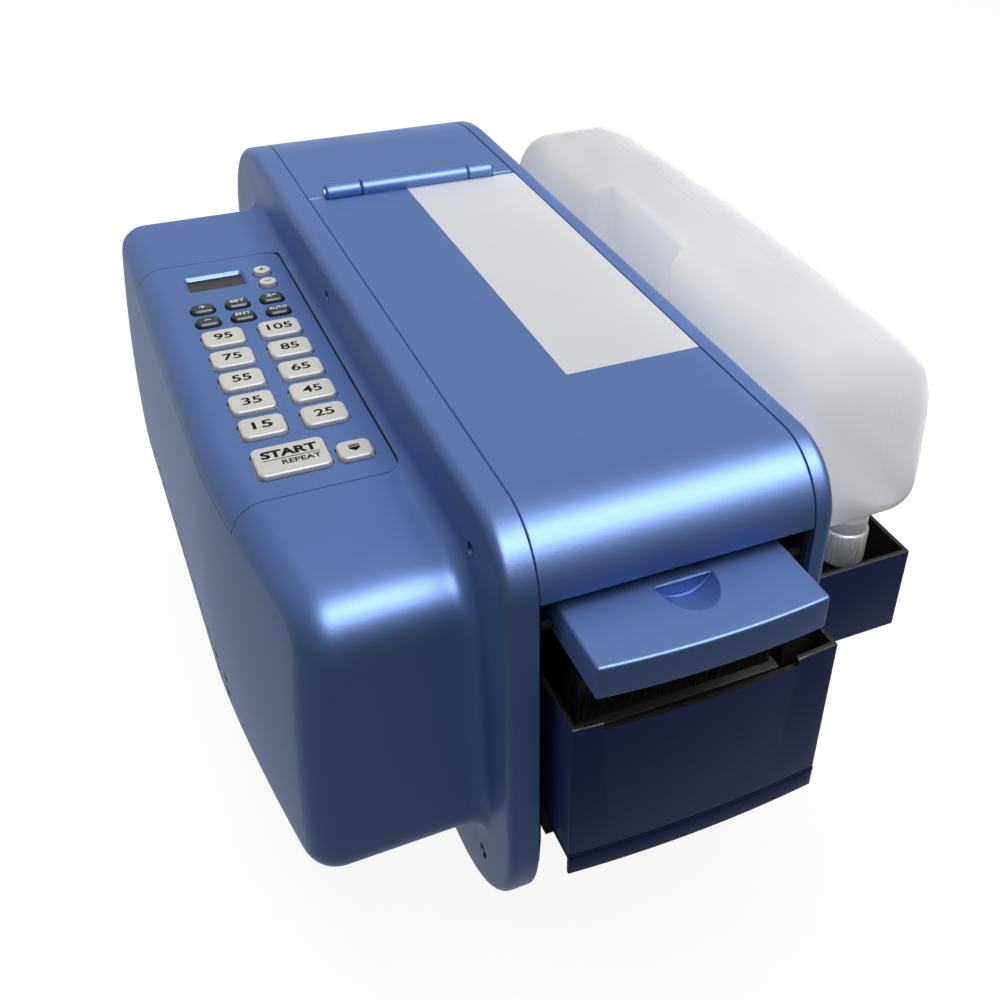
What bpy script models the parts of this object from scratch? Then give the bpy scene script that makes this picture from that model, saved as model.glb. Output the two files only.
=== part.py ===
"""Gummed paper tape dispenser for sealing cartons, built as separate solids.

Lengths are millimetres in the machine's own frame: x runs right from the lid's left seam, y runs back from
the front edge of the side covers, and z runs up from the floor. The empty called machine centres it.
"""
import math

import bmesh
import bpy

# Driving dimensions
LID_WIDTH = 125.0
BODY_LENGTH = 520.0
TOP_Z = 263.0
SKIRT_Z = 5.0
SEAT = 0.3  # rest gap between pieces that touch
SEAM = 0.5  # visible gap between neighbouring covers
SKIN = 3.0
STEEL = 2.0
FRONT_TOP_R = 32.5
FRONT_BOTTOM_R = 80.0
REAR_TOP_R = 110.0
REAR_BOTTOM_R = 40.0
PLATE_INSET = 3.6

LEFT_FLANGE = 14.0
RIGHT_COVER = 10.0
COVER_EDGE_R = 5.0

BULGE_DEPTH = 110.0
BULGE_NOSE_SET_IN = 16.0  # how much nearer the flange the nose of the left wall is
BULGE_LEAN = 12.0  # how far the left wall leans in towards its top
BULGE_TAPER_END = 181.0
BULGE_FRONT = 31.0
BULGE_REAR_SET = 90.0
BULGE_DROP = 37.5
BULGE_BOTTOM = 65.0
BULGE_NOSE_R = {"side": 14.0, "top": 26.0, "bottom": 20.0}
BULGE_TAIL_R = {"side": 12.0, "top": 8.0, "bottom": 20.0}
BULGE_TOP_R = 14.0
BULGE_BOTTOM_R = 14.0
SCREW_HOLE_R = 4.0
SCREW_HOLE_DEPTH = 8.0
SCREW_HOLES = ((36, 27), (249, 17), (430, 42), (38, 219), (430, 219))  # y, and depth below the top
VENT = {"ys": tuple(range(150, 371, 20)), "zs": (84, 93), "length": 8, "height": 3.4}

PANEL_THICK = 2.0
PANEL_FRONT = 114.5
PANEL_REAR = 358.0
PANEL_RIGHT = -18.0
PANEL_WRAP = 13.5
PANEL_CORNER_R = 8.0
LEDGE = 8.0
KEY_PROUD = 2.6
KEY_HOLE_GAP = 0.4
KEY_FLANGE = 1.0
KEY_TRAVEL = 1.2
KEY_STEM_R = 2.5
BOARD_DROP = 8.0
BOARD_THICK = 1.6
NUMBER_COLUMNS = (-67.3, -38.2)
NUMBER_ROW = 170.0
NUMBER_PITCH = 22.8
NUMBER_KEY = (21.0, 16.5)
SOFT_COLUMNS = (-71.4, -52.8, -34.1)
SOFT_ROWS = (282.0, 297.8)
SOFT_KEY = (12.4, 8.9)
ROUND_KEY_X = -32.0
ROUND_KEY_ROWS = (316.2, 331.8)
ROUND_KEY_R = 4.5
START_KEY = (-61.2, 140.0, 33.0, 23.0)
CUT_KEY = (-33.4, 135.5, 15.5, 14.0)
DISPLAY = (-58.3, 331.0, 33.0, 19.0)

HINGE_Y = 337.0
KNUCKLE_R = 5.0
HINGE_RISE = 2.5
PIN_R = 2.0
KNUCKLE_ENDS = (10.0, 31.0, 95.0, 111.0)

COVER_X = (8.0, 110.0)
COVER_FRONT = -35.0
COVER_REAR = 26.0
COVER_DROP = 36.5
COVER_LIP = 16.5
COVER_TOP_THICK = 6.0
COVER_WALL = 2.5
COVER_PIVOT = (6.0, 11.5)  # y, and depth below the cover's top
FRONT_BOW = 3.0
SCOOP = {"x": 61.0, "y": -2.0, "radii": (14.0, 21.0, 12.5), "lift": 3.5, "wall": 2.0}
HEATER_THICK = 3.0

PAN_DROP = 167.0
PAN_LIP = 12.5
TANK_FRONT = -17.5
TANK_REAR = 58.0
TANK_LEFT = 6.5
TANK_RIGHT = 118.5
TANK_HEIGHT = 80.2
TANK_WALL = 2.5
TANK_NOTCH = 4.0

SPOUT = {"y": 40.0, "rise": 47.0, "radius": 6.0, "bore": 4.0}
RESERVOIR_FRONT = 23.0
RESERVOIR_REAR = 140.0
RESERVOIR_HEIGHT = 47.0
RESERVOIR_WIDTH = 68.5
BOTTLE_WIDTH = 80.0
BOTTLE_LEAN = 7.0
BOTTLE_TAPER = (8.0, 12.0)  # how much narrower its front and rear ends are
BOTTLE_FRONT = 28.0
BOTTLE_LENGTH = 342.0
BOTTLE_DROP = 68.0
BOTTLE_RISE = 20.0
BOTTLE_GAP = 4.0
BOTTLE_NOSE_R = {"inner": 10.0, "side": 18.0, "top": 26.0, "bottom": 12.0}
BOTTLE_TAIL_R = {"inner": 4.0, "side": 26.0, "top": 42.0, "bottom": 16.0}
BOTTLE_SECTION_R = (24.0, 12.0, 10.0, 12.0)  # outer top, inner top, inner bottom, outer bottom
BOTTLE_WALL = 2.0
BOTTLE_RECESS = {"front": 165.0, "rear": 255.0, "depth": 11.0, "floor": 26.0}
NECK = {"x": 180.0, "y": 45.0, "radius": 9.3, "bore": 7.5, "length": 24.0}
CAP = {"wall": 1.6, "length": 27.0, "base": 3.0, "vent": 3.0, "overlap": 21.0}
SHELF = {"front": 150.0, "rear": 340.0, "width": 60.0, "thick": 5.0, "gusset": 40.0}

ROLL_Y = 255.0
ROLL_R = 72.0
ROLL_CORE_R = 16.0
ROLL_WIDTH = 76.0
ROLL_ROLLER_R = 12.0
ROLL_ROLLER_SPREAD = 50.0
ROLL_ROLLER_CLEAR = 2.0
STUB_R = 4.0

FEED_Y = 105.0
FEED_DROP = 82.0
FEED_R = 15.0
PRESS_R = 12.0
NIP = 0.6
DRUM_X = (20.0, 105.0)
ARM_PIVOT = (140.0, 46.0)  # y, and depth below the top
ARM_THICK = 4.0
ARM_R = 8.0

BLADE_Y = 70.0
BLADE_THICK = 2.0
FIXED_BLADE = 4.0
SOLENOID = {"width": 37.0, "front": 59.0, "rear": 84.0, "height": 38.7, "bore": 5.5, "plunger": 5.0}

MOTOR_Z = 105.0
MOTOR_R = 28.0
MOTOR_X = (-84.0, -28.0)
POST_SPREAD = 26.0
BELT_X = (-22.0, -12.0)
MOTOR_PULLEY_R = 14.0
FEED_PULLEY_R = 18.0
BELT_THICK = 2.0

SUPPLY_Y = (215.0, 335.0)
SUPPLY_Z = (76.0, 166.0)
INLET = {"x": -60.0, "z": 120.0, "flange": (32.0, 62.0), "body": (27.0, 56.0), "depth": 20.0}
SWITCH_RISE = 15.0
FOOT_R = 12.0
FOOT_INSET = 13.0
FOOT_YS = (110.0, 400.0)
PLATE_FOOT_WIDTH = 26.0

# Places that follow from the driving dimensions
BULGE_REAR = BODY_LENGTH - BULGE_REAR_SET
BULGE_TOP = TOP_Z - BULGE_DROP
BULGE_X = -BULGE_DEPTH
RIGHT_X = LID_WIDTH + RIGHT_COVER
SIDE_RIGHT = RIGHT_X + BOTTLE_GAP + BOTTLE_WIDTH
PAN_TOP = TOP_Z - PAN_DROP
TANK_TOP = PAN_TOP + SEAT + TANK_HEIGHT
COVER_TOP = TOP_Z - COVER_DROP
COVER_AXIS = (COVER_PIVOT[0], COVER_TOP - COVER_PIVOT[1])
FEED_Z = TOP_Z - FEED_DROP
TAPE_Z = FEED_Z + FEED_R + NIP / 2
PRESS_Z = FEED_Z + FEED_R + NIP + PRESS_R
ARM_Z = TOP_Z - ARM_PIVOT[1]
HINGE_Z = TOP_Z + HINGE_RISE
SPOUT_Z = PAN_TOP + SPOUT["rise"]
BOTTLE_Z = TOP_Z - BOTTLE_DROP
CENTRE_X = LID_WIDTH / 2
MACHINE_CENTRE = ((BULGE_X + SIDE_RIGHT) / 2, (COVER_FRONT - FRONT_BOW + BODY_LENGTH) / 2)

scene_root = None


def clear_scene():
    for obj in list(bpy.data.objects):
        bpy.data.objects.remove(obj, do_unlink=True)


def finish(name, colour, roughness, metallic):
    material = bpy.data.materials.new(name)
    material.use_nodes = True
    shader = material.node_tree.nodes["Principled BSDF"]
    shader.inputs["Base Color"].default_value = (*colour, 1)
    shader.inputs["Roughness"].default_value = roughness
    shader.inputs["Metallic"].default_value = metallic
    return material


def add_object(name, bm, origin):
    """Turns a bmesh in millimetres into an object in metres whose origin lies at the given place."""
    bmesh.ops.recalc_face_normals(bm, faces=bm.faces)
    bmesh.ops.translate(bm, verts=bm.verts, vec=[-value for value in origin])
    bmesh.ops.scale(bm, verts=bm.verts, vec=(0.001, 0.001, 0.001))
    mesh = bpy.data.meshes.new(name)
    bm.to_mesh(mesh)
    bm.free()
    mesh.shade_smooth()
    mesh.set_sharp_from_angle(angle=math.radians(35))
    obj = bpy.data.objects.new(name, mesh)
    bpy.context.scene.collection.objects.link(obj)
    obj.parent = scene_root
    obj.location = [value * 0.001 for value in origin]
    return obj


def piece(name, bm, material, origin=(0, 0, 0)):
    obj = add_object(name, bm, origin)
    obj.data.materials.append(material)
    return obj


def helper(name, bm):
    obj = add_object(name, bm, (0, 0, 0))
    obj.hide_render = True
    obj.display_type = "WIRE"
    return obj


def combine(obj, other, operation):
    """Adds a Boolean to obj. other is a helper object, or a bmesh that becomes one."""
    if isinstance(other, bmesh.types.BMesh):
        other = helper(f"{obj.name}_{operation.lower()}_{len(obj.modifiers)}", other)
    modifier = obj.modifiers.new(operation.title(), "BOOLEAN")
    modifier.operation = operation
    modifier.object = other
    modifier.solver = "EXACT"
    return obj


def cut(obj, other):
    return combine(obj, other, "DIFFERENCE")


def join(obj, other):
    return combine(obj, other, "UNION")


def group(*meshes):
    """One bmesh that holds several separate ones, for a helper with many parts."""
    whole = bmesh.new()
    for bm in meshes:
        mesh = bpy.data.meshes.new("part")
        bm.to_mesh(mesh)
        bm.free()
        whole.from_mesh(mesh)
        bpy.data.meshes.remove(mesh)
    return whole


def box(x, y, z):
    """A box from three (low, high) pairs."""
    bm = bmesh.new()
    bmesh.ops.create_cube(bm, size=1)
    bmesh.ops.scale(bm, verts=bm.verts, vec=(x[1] - x[0], y[1] - y[0], z[1] - z[0]))
    bmesh.ops.translate(bm, verts=bm.verts, vec=(sum(x) / 2, sum(y) / 2, sum(z) / 2))
    return bm


def arc(centre, radius, start, end, steps):
    """Points on an arc, angles in degrees."""
    angles = [math.radians(start + (end - start) * step / steps) for step in range(steps + 1)]
    return [(centre[0] + radius * math.cos(a), centre[1] + radius * math.sin(a)) for a in angles]


def rounded(low, high, radii, steps=3):
    """A rectangle with rounded corners: high-high, low-high, low-low, high-low. Radius 0 keeps a corner."""
    (u0, v0), (u1, v1) = low, high
    corners = ((u1, v1, -1, -1, 0), (u0, v1, 1, -1, 90), (u0, v0, 1, 1, 180), (u1, v0, -1, 1, 270))
    points = []
    for (u, v, inward_u, inward_v, start), radius in zip(corners, radii):
        if radius <= 0:
            points.append((u, v))
        else:
            centre = (u + inward_u * radius, v + inward_v * radius)
            points += arc(centre, radius, start, start + 90, steps)
    return points


def place(axis, along, point):
    """The point of space at a distance along an axis, from its two coordinates across the axis."""
    coordinates = list(point)
    coordinates.insert("xyz".index(axis), along)
    return coordinates


def prism(axis, ends, outline):
    bm = bmesh.new()
    face = bm.faces.new([bm.verts.new(place(axis, ends[0], point)) for point in outline])
    extruded = bmesh.ops.extrude_face_region(bm, geom=[face])["geom"]
    moved = [item for item in extruded if isinstance(item, bmesh.types.BMVert)]
    bmesh.ops.translate(bm, verts=moved, vec=place(axis, ends[1] - ends[0], (0, 0)))
    return bm


def soften_end(bm, axis, along, radius, steps=3):
    """Rounds the edges that lie in the plane at the given distance along the axis."""
    index = "xyz".index(axis)
    edges = [edge for edge in bm.edges if all(abs(vert.co[index] - along) < 0.01 for vert in edge.verts)]
    bmesh.ops.bevel(bm, geom=edges, offset=radius, segments=steps, profile=0.5, affect="EDGES", material=-1)
    return bm


def rod(axis, ends, centre, radius, steps=16):
    return prism(axis, ends, arc(centre, radius, 0, 360 - 360 / steps, steps - 1))


def turned(axis, centre, profile, steps=24):
    """Spins (along, radius) points round an axis. A profile off the axis is a closed ring."""
    ring = all(radius > 0 for _, radius in profile)
    bm = bmesh.new()
    verts = [bm.verts.new(place(axis, along, (centre[0] + radius, centre[1]))) for along, radius in profile]
    pairs = list(zip(verts, verts[1:])) + ([(verts[-1], verts[0])] if ring else [])
    edges = [bm.edges.new(pair) for pair in pairs]
    bmesh.ops.spin(
        bm, geom=verts + edges, cent=place(axis, 0, centre), axis=place(axis, 1, (0, 0)),
        angle=math.tau, steps=steps, use_merge=True)
    bmesh.ops.remove_doubles(bm, verts=bm.verts, dist=0.001)
    return bm


def loft(rings):
    """A closed solid through rings that hold the same number of points."""
    bm = bmesh.new()
    loops = [[bm.verts.new(point) for point in ring] for ring in rings]
    for first, second in zip(loops, loops[1:]):
        edges = []
        for loop in (first, second):
            for start, end in zip(loop, loop[1:] + loop[:1]):
                edges.append(bm.edges.get((start, end)) or bm.edges.new((start, end)))
        bmesh.ops.bridge_loops(bm, edges=edges)
    bm.faces.new(loops[0])
    bm.faces.new(loops[-1])
    return bm


def drop(distance, radius):
    """How far a rounded corner has fallen back at a distance from the face that it starts in."""
    if distance >= radius:
        return 0.0
    return radius - math.sqrt(radius ** 2 - (radius - distance) ** 2)


def arc_stations(radius, steps=5):
    return [radius * (1 - math.cos(math.pi / 2 * step / steps)) for step in range(steps + 1)]


def side_outline(inset=0.0):
    """The outline of the side covers in the y-z plane."""
    radii = [REAR_TOP_R, FRONT_TOP_R, FRONT_BOTTOM_R, REAR_BOTTOM_R]
    low = (inset, SKIRT_Z + inset)
    high = (BODY_LENGTH - inset, TOP_Z - inset)
    return rounded(low, high, [radius - inset for radius in radii], steps=7)


def bulge_wall_x(y):
    """The left wall bows out from the nose until the taper ends, then runs straight back."""
    share = min(max((y - BULGE_FRONT) / (BULGE_TAPER_END - BULGE_FRONT), 0.0), 1.0)
    return BULGE_X + BULGE_NOSE_SET_IN * (1 - share) ** 1.5


def bulge_lean(x, z):
    height = (z - BULGE_BOTTOM) / (BULGE_TOP - BULGE_BOTTOM)
    return BULGE_LEAN * height ** 2 * min(max(-x / 40, 0), 1)


def bulge(inset, reach):
    """The drive housing's bulge, smaller by the inset, from its left wall to the plane x = reach."""
    front = BULGE_FRONT + inset
    rear = BULGE_REAR - inset
    nose = {side: radius - inset for side, radius in BULGE_NOSE_R.items()}
    tail = {side: radius - inset for side, radius in BULGE_TAIL_R.items()}
    middle = [BULGE_FRONT + (BULGE_TAPER_END - BULGE_FRONT) * share for share in (0.4, 0.6, 0.8, 1.0)]
    stations = [front + step for step in arc_stations(nose["bottom"], 6)] + middle
    stations += [rear - step for step in reversed(arc_stations(max(tail.values()), 4))]
    rings = []
    for y in stations:
        fall = {side: max(drop(y - front, nose[side]), drop(rear - y, tail[side])) for side in nose}
        low = (bulge_wall_x(y) + inset + fall["side"], BULGE_BOTTOM + inset + fall["bottom"])
        high = (reach, BULGE_TOP - inset - fall["top"])
        outline = rounded(low, high, (0, BULGE_TOP_R - inset, BULGE_BOTTOM_R - inset, 0), steps=4)
        rings.append([(x + bulge_lean(x, z), y, z) for x, z in outline])
    return loft(rings)


def panel_outline(grow=0.0):
    """The keypad panel seen from above. Its left edge runs past the wall, which the panel wraps over."""
    low = (BULGE_X - 20, PANEL_FRONT - grow)
    high = (PANEL_RIGHT + grow, PANEL_REAR + grow)
    return rounded(low, high, (PANEL_CORNER_R + grow, 0, 0, PANEL_CORNER_R + grow), steps=3)


def make_left_housing(blue):
    flange = prism("x", (-LEFT_FLANGE, 0), side_outline())
    housing = piece("left_housing", soften_end(flange, "x", -LEFT_FLANGE, COVER_EDGE_R), blue)
    join(housing, bulge(0, -LEFT_FLANGE / 2))
    cut(housing, bulge(SKIN + 1, 1))
    seat = helper("panel_seat", prism(
        "z", (BULGE_TOP - PANEL_WRAP - SEAT, BULGE_TOP + 20), panel_outline(SEAT)))
    cut(housing, cut(seat, bulge(PANEL_THICK + SEAT, 1)))
    window = prism("z", (BULGE_TOP - 20, BULGE_TOP + 20), rounded(
        (BULGE_X + 28, PANEL_FRONT + LEDGE), (PANEL_RIGHT - 4, PANEL_REAR - LEDGE), (4, 4, 4, 4)))
    cut(housing, window)
    depths_x = (-LEFT_FLANGE - 5, SCREW_HOLE_DEPTH - LEFT_FLANGE)
    holes = [rod("x", depths_x, (y, TOP_Z - depth), SCREW_HOLE_R, 12)
             for y, depth in SCREW_HOLES]
    cut(housing, group(*holes))
    slots = [box((BULGE_X - 5, BULGE_X + 10), (y, y + VENT["length"]), (z, z + VENT["height"]))
             for y in VENT["ys"] for z in VENT["zs"]]
    cut(housing, group(*slots))
    width, height = INLET["body"]
    cut(housing, box(
        (INLET["x"] - width / 2 - SEAT, INLET["x"] + width / 2 + SEAT),
        (BULGE_REAR - 10, BULGE_REAR + 10),
        (INLET["z"] - height / 2 - SEAT, INLET["z"] + height / 2 + SEAT)))


def key_table():
    """Each key's name, centre, size and material name. A height of None makes it round."""
    keys = []
    for column, first in zip(NUMBER_COLUMNS, (15, 25)):
        for row in range(5):
            name = f"key_{first + 20 * row}"
            keys.append((name, column, NUMBER_ROW + row * NUMBER_PITCH, *NUMBER_KEY, "key_white"))
    soft_names = (("minus", "enter", "auto"), ("plus", "set", "twice"))
    for y, names in zip(SOFT_ROWS, soft_names):
        for x, name in zip(SOFT_COLUMNS, names):
            keys.append((f"key_{name}", x, y, *SOFT_KEY, "key_dark"))
    for y, name in zip(ROUND_KEY_ROWS, ("trim_less", "trim_more")):
        keys.append((f"key_{name}", ROUND_KEY_X, y, 2 * ROUND_KEY_R, None, "key_white"))
    keys.append(("key_start", *START_KEY, "key_white"))
    keys.append(("key_cut", *CUT_KEY, "key_white"))
    return keys


def key_outline(x, y, width, height, grow=0.0):
    if height is None:
        return arc((x, y), width / 2 + grow, 0, 330, 11)
    half = (width / 2 + grow, height / 2 + grow)
    corner = min(3.5, min(width, height) / 2.5) + grow
    return rounded((x - half[0], y - half[1]), (x + half[0], y + half[1]), [corner] * 4, steps=2)


def make_key(name, x, y, width, height, material):
    underside = BULGE_TOP - PANEL_THICK - SEAT
    board = BULGE_TOP - BOARD_DROP - PANEL_THICK
    top = BULGE_TOP + KEY_PROUD
    count = len(key_outline(x, y, width, height))
    stem = arc((x, y), KEY_STEM_R, 0, 360 - 360 / count, count - 1)
    if height is not None:
        stem = key_outline(x, y, 2 * KEY_STEM_R, 2 * KEY_STEM_R)
    levels = [
        (board + KEY_TRAVEL + SEAT, stem),
        (underside - KEY_FLANGE, stem),
        (underside - KEY_FLANGE, key_outline(x, y, width, height, KEY_FLANGE)),
        (underside, key_outline(x, y, width, height, KEY_FLANGE)),
        (underside, key_outline(x, y, width, height)),
        (top - 0.6, key_outline(x, y, width, height)),
        (top, key_outline(x, y, width, height, -0.6)),
    ]
    piece(name, loft([[(u, v, z) for u, v in outline] for z, outline in levels]), material, (x, y, top))


def make_keypad(blue, glass, board_green, keys):
    shell = prism("z", (BULGE_TOP - PANEL_WRAP, BULGE_TOP + 20), panel_outline())
    panel = piece("keypad_panel", shell, blue)
    combine(panel, bulge(0, 1), "INTERSECT")
    cut(panel, bulge(PANEL_THICK, 1))
    through = (BULGE_TOP - 12, BULGE_TOP + 12)
    table = key_table()
    holes = [prism("z", through, key_outline(x, y, w, h, KEY_HOLE_GAP)) for _, x, y, w, h, _ in table]
    x, y, width, height = DISPLAY
    holes.append(prism("z", through, rounded(
        (x - width / 2, y - height / 2), (x + width / 2, y + height / 2), (1, 1, 1, 1), 1)))
    cut(panel, group(*holes))
    board_top = BULGE_TOP - PANEL_THICK - BOARD_DROP
    middle = sum(NUMBER_COLUMNS) / 2
    rows = (START_KEY[1] + 17, NUMBER_ROW + 2.5 * NUMBER_PITCH, (SOFT_ROWS[1] + DISPLAY[1]) / 2 - 3)
    boss_z = (board_top + SEAT, BULGE_TOP - PANEL_THICK / 2)
    bosses = [rod("z", boss_z, (middle, row), 2.2, 8) for row in rows]
    join(panel, group(*bosses))
    piece("display_window", box(
        (x - width / 2 - 1.8, x + width / 2 + 1.8), (y - height / 2 - 1.8, y + height / 2 + 1.8),
        (BULGE_TOP - PANEL_THICK - SEAT - 2, BULGE_TOP - PANEL_THICK - SEAT)), glass)
    piece("control_board", box(
        (BULGE_X + 28, PANEL_RIGHT - 7), (PANEL_FRONT + 11, PANEL_REAR - 13),
        (board_top - BOARD_THICK, board_top)), board_green)
    for name, x, y, width, height, colour in table:
        make_key(name, x, y, width, height, keys[colour])


def make_side_plates(steel):
    """The two steel cheeks that carry every shaft, each with an inward foot along its lower edge."""
    low = SKIRT_Z + PLATE_INSET
    shafts = [
        (COVER_AXIS, PIN_R), ((FEED_Y, FEED_Z), STUB_R), ((ARM_PIVOT[0], ARM_Z), STUB_R),
        *[((y, roll_roller_z()), STUB_R) for y in roll_roller_ys()],
    ]
    left = (SEAT, SEAT + STEEL)
    right = (LID_WIDTH - SEAT - STEEL, LID_WIDTH - SEAT)
    sides = (("left_side_plate", left, 1, left[0]), ("right_side_plate", right, -1, right[1]))
    for name, x, inner, side in sides:
        plate = piece(name, prism("x", x, side_outline(PLATE_INSET)), steel)
        foot_x = sorted((side, side + inner * PLATE_FOOT_WIDTH))
        foot_y = (FRONT_BOTTOM_R + 10, BODY_LENGTH - REAR_BOTTOM_R - 10)
        join(plate, box(foot_x, foot_y, (low, low + STEEL)))
        holes = [rod("x", (x[0] - 3, x[1] + 3), centre, radius + SEAT, 16) for centre, radius in shafts]
        if inner < 0:
            holes.append(rod("x", (x[0] - 3, x[1] + 3), (SPOUT["y"], SPOUT_Z), SPOUT["radius"] + SEAT, 16))
        cut(plate, group(*holes))


def make_right_cover(blue):
    shell = prism("x", (LID_WIDTH, RIGHT_X), side_outline())
    cover = piece("right_cover", soften_end(shell, "x", RIGHT_X, COVER_EDGE_R), blue)
    cut(cover, prism("x", (LID_WIDTH - 1, RIGHT_X - SKIN), side_outline(SKIN + COVER_EDGE_R)))
    shelf_top = BOTTLE_Z - SEAT
    shelf_end = RIGHT_X + SHELF["width"]
    shelf_y = (SHELF["front"], SHELF["rear"])
    join(cover, box((RIGHT_X - SKIN / 2, shelf_end), shelf_y, (shelf_top - SHELF["thick"], shelf_top)))
    under = shelf_top - SHELF["thick"] + 1
    for y in (shelf_y[0], shelf_y[1] - SKIN):
        join(cover, prism("y", (y + 0.5, y + SKIN), (
            (RIGHT_X - 1, under), (shelf_end - 10, under), (RIGHT_X - 1, under - SHELF["gusset"]))))
    cut(cover, rod("x", (LID_WIDTH - 1, RIGHT_X + 1), (SPOUT["y"], SPOUT_Z), SPOUT["radius"] + SEAT, 16))


def rail(outer, inner):
    """The closed outline of a bent sheet, from its outer and inner line."""
    return outer + inner[::-1]


def make_lid_and_rear(blue, steel):
    x = (SEAM, LID_WIDTH - SEAM)
    axis = (HINGE_Y, HINGE_Z)
    front_centre = (FRONT_TOP_R, TOP_Z - FRONT_TOP_R)
    rear_centre = (BODY_LENGTH - REAR_TOP_R, TOP_Z - REAR_TOP_R)
    lid_outer = [(HINGE_Y - SEAT, TOP_Z)] + arc(front_centre, FRONT_TOP_R, 90, 180, 9)
    lid_inner = [(HINGE_Y - SEAT, TOP_Z - SKIN)] + arc(front_centre, FRONT_TOP_R - SKIN, 90, 180, 9)
    rear_outer = [(HINGE_Y + SEAT, TOP_Z)] + arc(rear_centre, REAR_TOP_R, 90, 0, 9)
    rear_inner = [(HINGE_Y + SEAT, TOP_Z - SKIN)] + arc(rear_centre, REAR_TOP_R - SKIN, 90, 0, 9)
    rear_outer.append((BODY_LENGTH, PAN_TOP - PAN_LIP))
    rear_inner.append((BODY_LENGTH - SKIN, PAN_TOP - PAN_LIP))
    lid = piece("lid", prism("x", x, rail(lid_outer, lid_inner)), blue, (CENTRE_X, *axis))
    rear = piece("rear_cover", prism("x", x, rail(rear_outer, rear_inner)), blue)
    start, split_left, split_right, end = KNUCKLE_ENDS
    middle = (split_left + SEAT, split_right - SEAT)
    outer = ((start, split_left), (split_right, end))
    clear = KNUCKLE_R + 2 * SEAT
    cut(lid, group(*[rod("x", (a - SEAT, b + SEAT), axis, clear, 24) for a, b in outer]))
    cut(rear, rod("x", (middle[0] - SEAT, middle[1] + SEAT), axis, clear, 24))
    join(lid, rod("x", middle, axis, KNUCKLE_R, 24))
    join(rear, group(*[rod("x", ends, axis, KNUCKLE_R, 24) for ends in outer]))
    for owner in (lid, rear):
        cut(owner, rod("x", (start - 5, end + 5), axis, PIN_R + SEAT, 16))
    piece("hinge_pin", rod("x", (start - 0.5, end + 0.5), axis, PIN_R, 16), steel)


def bowed_front(x_low, x_high, y):
    """The points of a front edge that bows towards the user, from its right end to its left."""
    points = []
    for step in range(11):
        share = step / 10
        points.append((x_high + (x_low - x_high) * share, y - FRONT_BOW * 4 * share * (1 - share)))
    return points


def scoop_shape(grow, top):
    """The front half of an ellipsoid below a level, with a flat wall behind for the fingertips."""
    bm = bmesh.new()
    bmesh.ops.create_icosphere(bm, subdivisions=3, radius=1)
    bmesh.ops.scale(bm, verts=bm.verts, vec=[radius + grow for radius in SCOOP["radii"]])
    bmesh.ops.translate(bm, verts=bm.verts, vec=(SCOOP["x"], SCOOP["y"], COVER_TOP + SCOOP["lift"]))
    for point, normal in (((0, SCOOP["y"] + grow + 0.01, 0), (0, 1, 0)), ((0, 0, top), (0, 0, 1))):
        everything = bm.verts[:] + bm.edges[:] + bm.faces[:]
        bmesh.ops.bisect_plane(bm, geom=everything, plane_co=point, plane_no=normal, clear_outer=True)
        rim = [edge for edge in bm.edges if edge.is_boundary]
        if rim:
            bmesh.ops.edgeloop_fill(bm, edges=rim)
    return bm


def make_heater_cover(blue, black, steel):
    low, high = COVER_X
    outline = bowed_front(low, high, COVER_FRONT) + [(low, COVER_REAR), (high, COVER_REAR)]
    inner = bowed_front(low + COVER_WALL, high - COVER_WALL, COVER_FRONT + COVER_WALL)
    inner += [(low + COVER_WALL, COVER_REAR + 5), (high - COVER_WALL, COVER_REAR + 5)]
    bottom = COVER_TOP - COVER_LIP
    cover = piece("heater_cover", prism("z", (bottom, COVER_TOP), outline), blue, (CENTRE_X, *COVER_AXIS))
    cut(cover, prism("z", (bottom - 1, COVER_TOP - COVER_TOP_THICK), inner))
    join(cover, scoop_shape(SCOOP["wall"], COVER_TOP - COVER_TOP_THICK / 2))
    cut(cover, scoop_shape(0, COVER_TOP + SCOOP["lift"]))
    cut(cover, rod("x", (low - 5, high + 5), COVER_AXIS, PIN_R + SEAT, 16))
    plate_top = COVER_AXIS[1] - PIN_R - 1.5
    piece("heater_plate", box(
        (low + COVER_WALL + SEAT, high - COVER_WALL - SEAT), (COVER_FRONT + 7, COVER_REAR - 2),
        (plate_top - HEATER_THICK, plate_top)), black, (CENTRE_X, *COVER_AXIS))
    piece("heater_cover_pin", rod("x", (SEAT * 2, LID_WIDTH - SEAT * 2), COVER_AXIS, PIN_R, 16), steel)


def make_base_pan(steel):
    """The steel floor between the cheeks, with a lip that shows below the tank."""
    side = SEAT + STEEL + SEAT
    bottom = PAN_TOP - STEEL
    rear = BODY_LENGTH - SKIN - SEAT
    pan = piece("base_pan", box((side, LID_WIDTH - side), (-1, rear), (bottom, PAN_TOP)), steel)
    low, high = TANK_LEFT, RIGHT_X - SEAM
    shelf = bowed_front(low, high, TANK_FRONT) + [(low, -SEAM), (high, -SEAM)]
    join(pan, prism("z", (bottom - 0.2, PAN_TOP - 0.1), shelf))
    lip = bowed_front(low, high, TANK_FRONT)
    lip += [(u, v + STEEL) for u, v in reversed(bowed_front(low, high, TANK_FRONT))]
    join(pan, prism("z", (PAN_TOP - PAN_LIP, PAN_TOP - 0.2), lip))


def tank_outline(inset):
    """The brush tank from above: wide ahead of the cheeks, narrow between them."""
    low = TANK_LEFT + inset
    high = RIGHT_X - SEAM - inset
    narrow = TANK_RIGHT - inset
    step = -2 * SEAM - inset
    outline = bowed_front(low, high, TANK_FRONT + inset)
    return outline + [(low, TANK_REAR - inset), (narrow, TANK_REAR - inset), (narrow, step), (high, step)]


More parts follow.
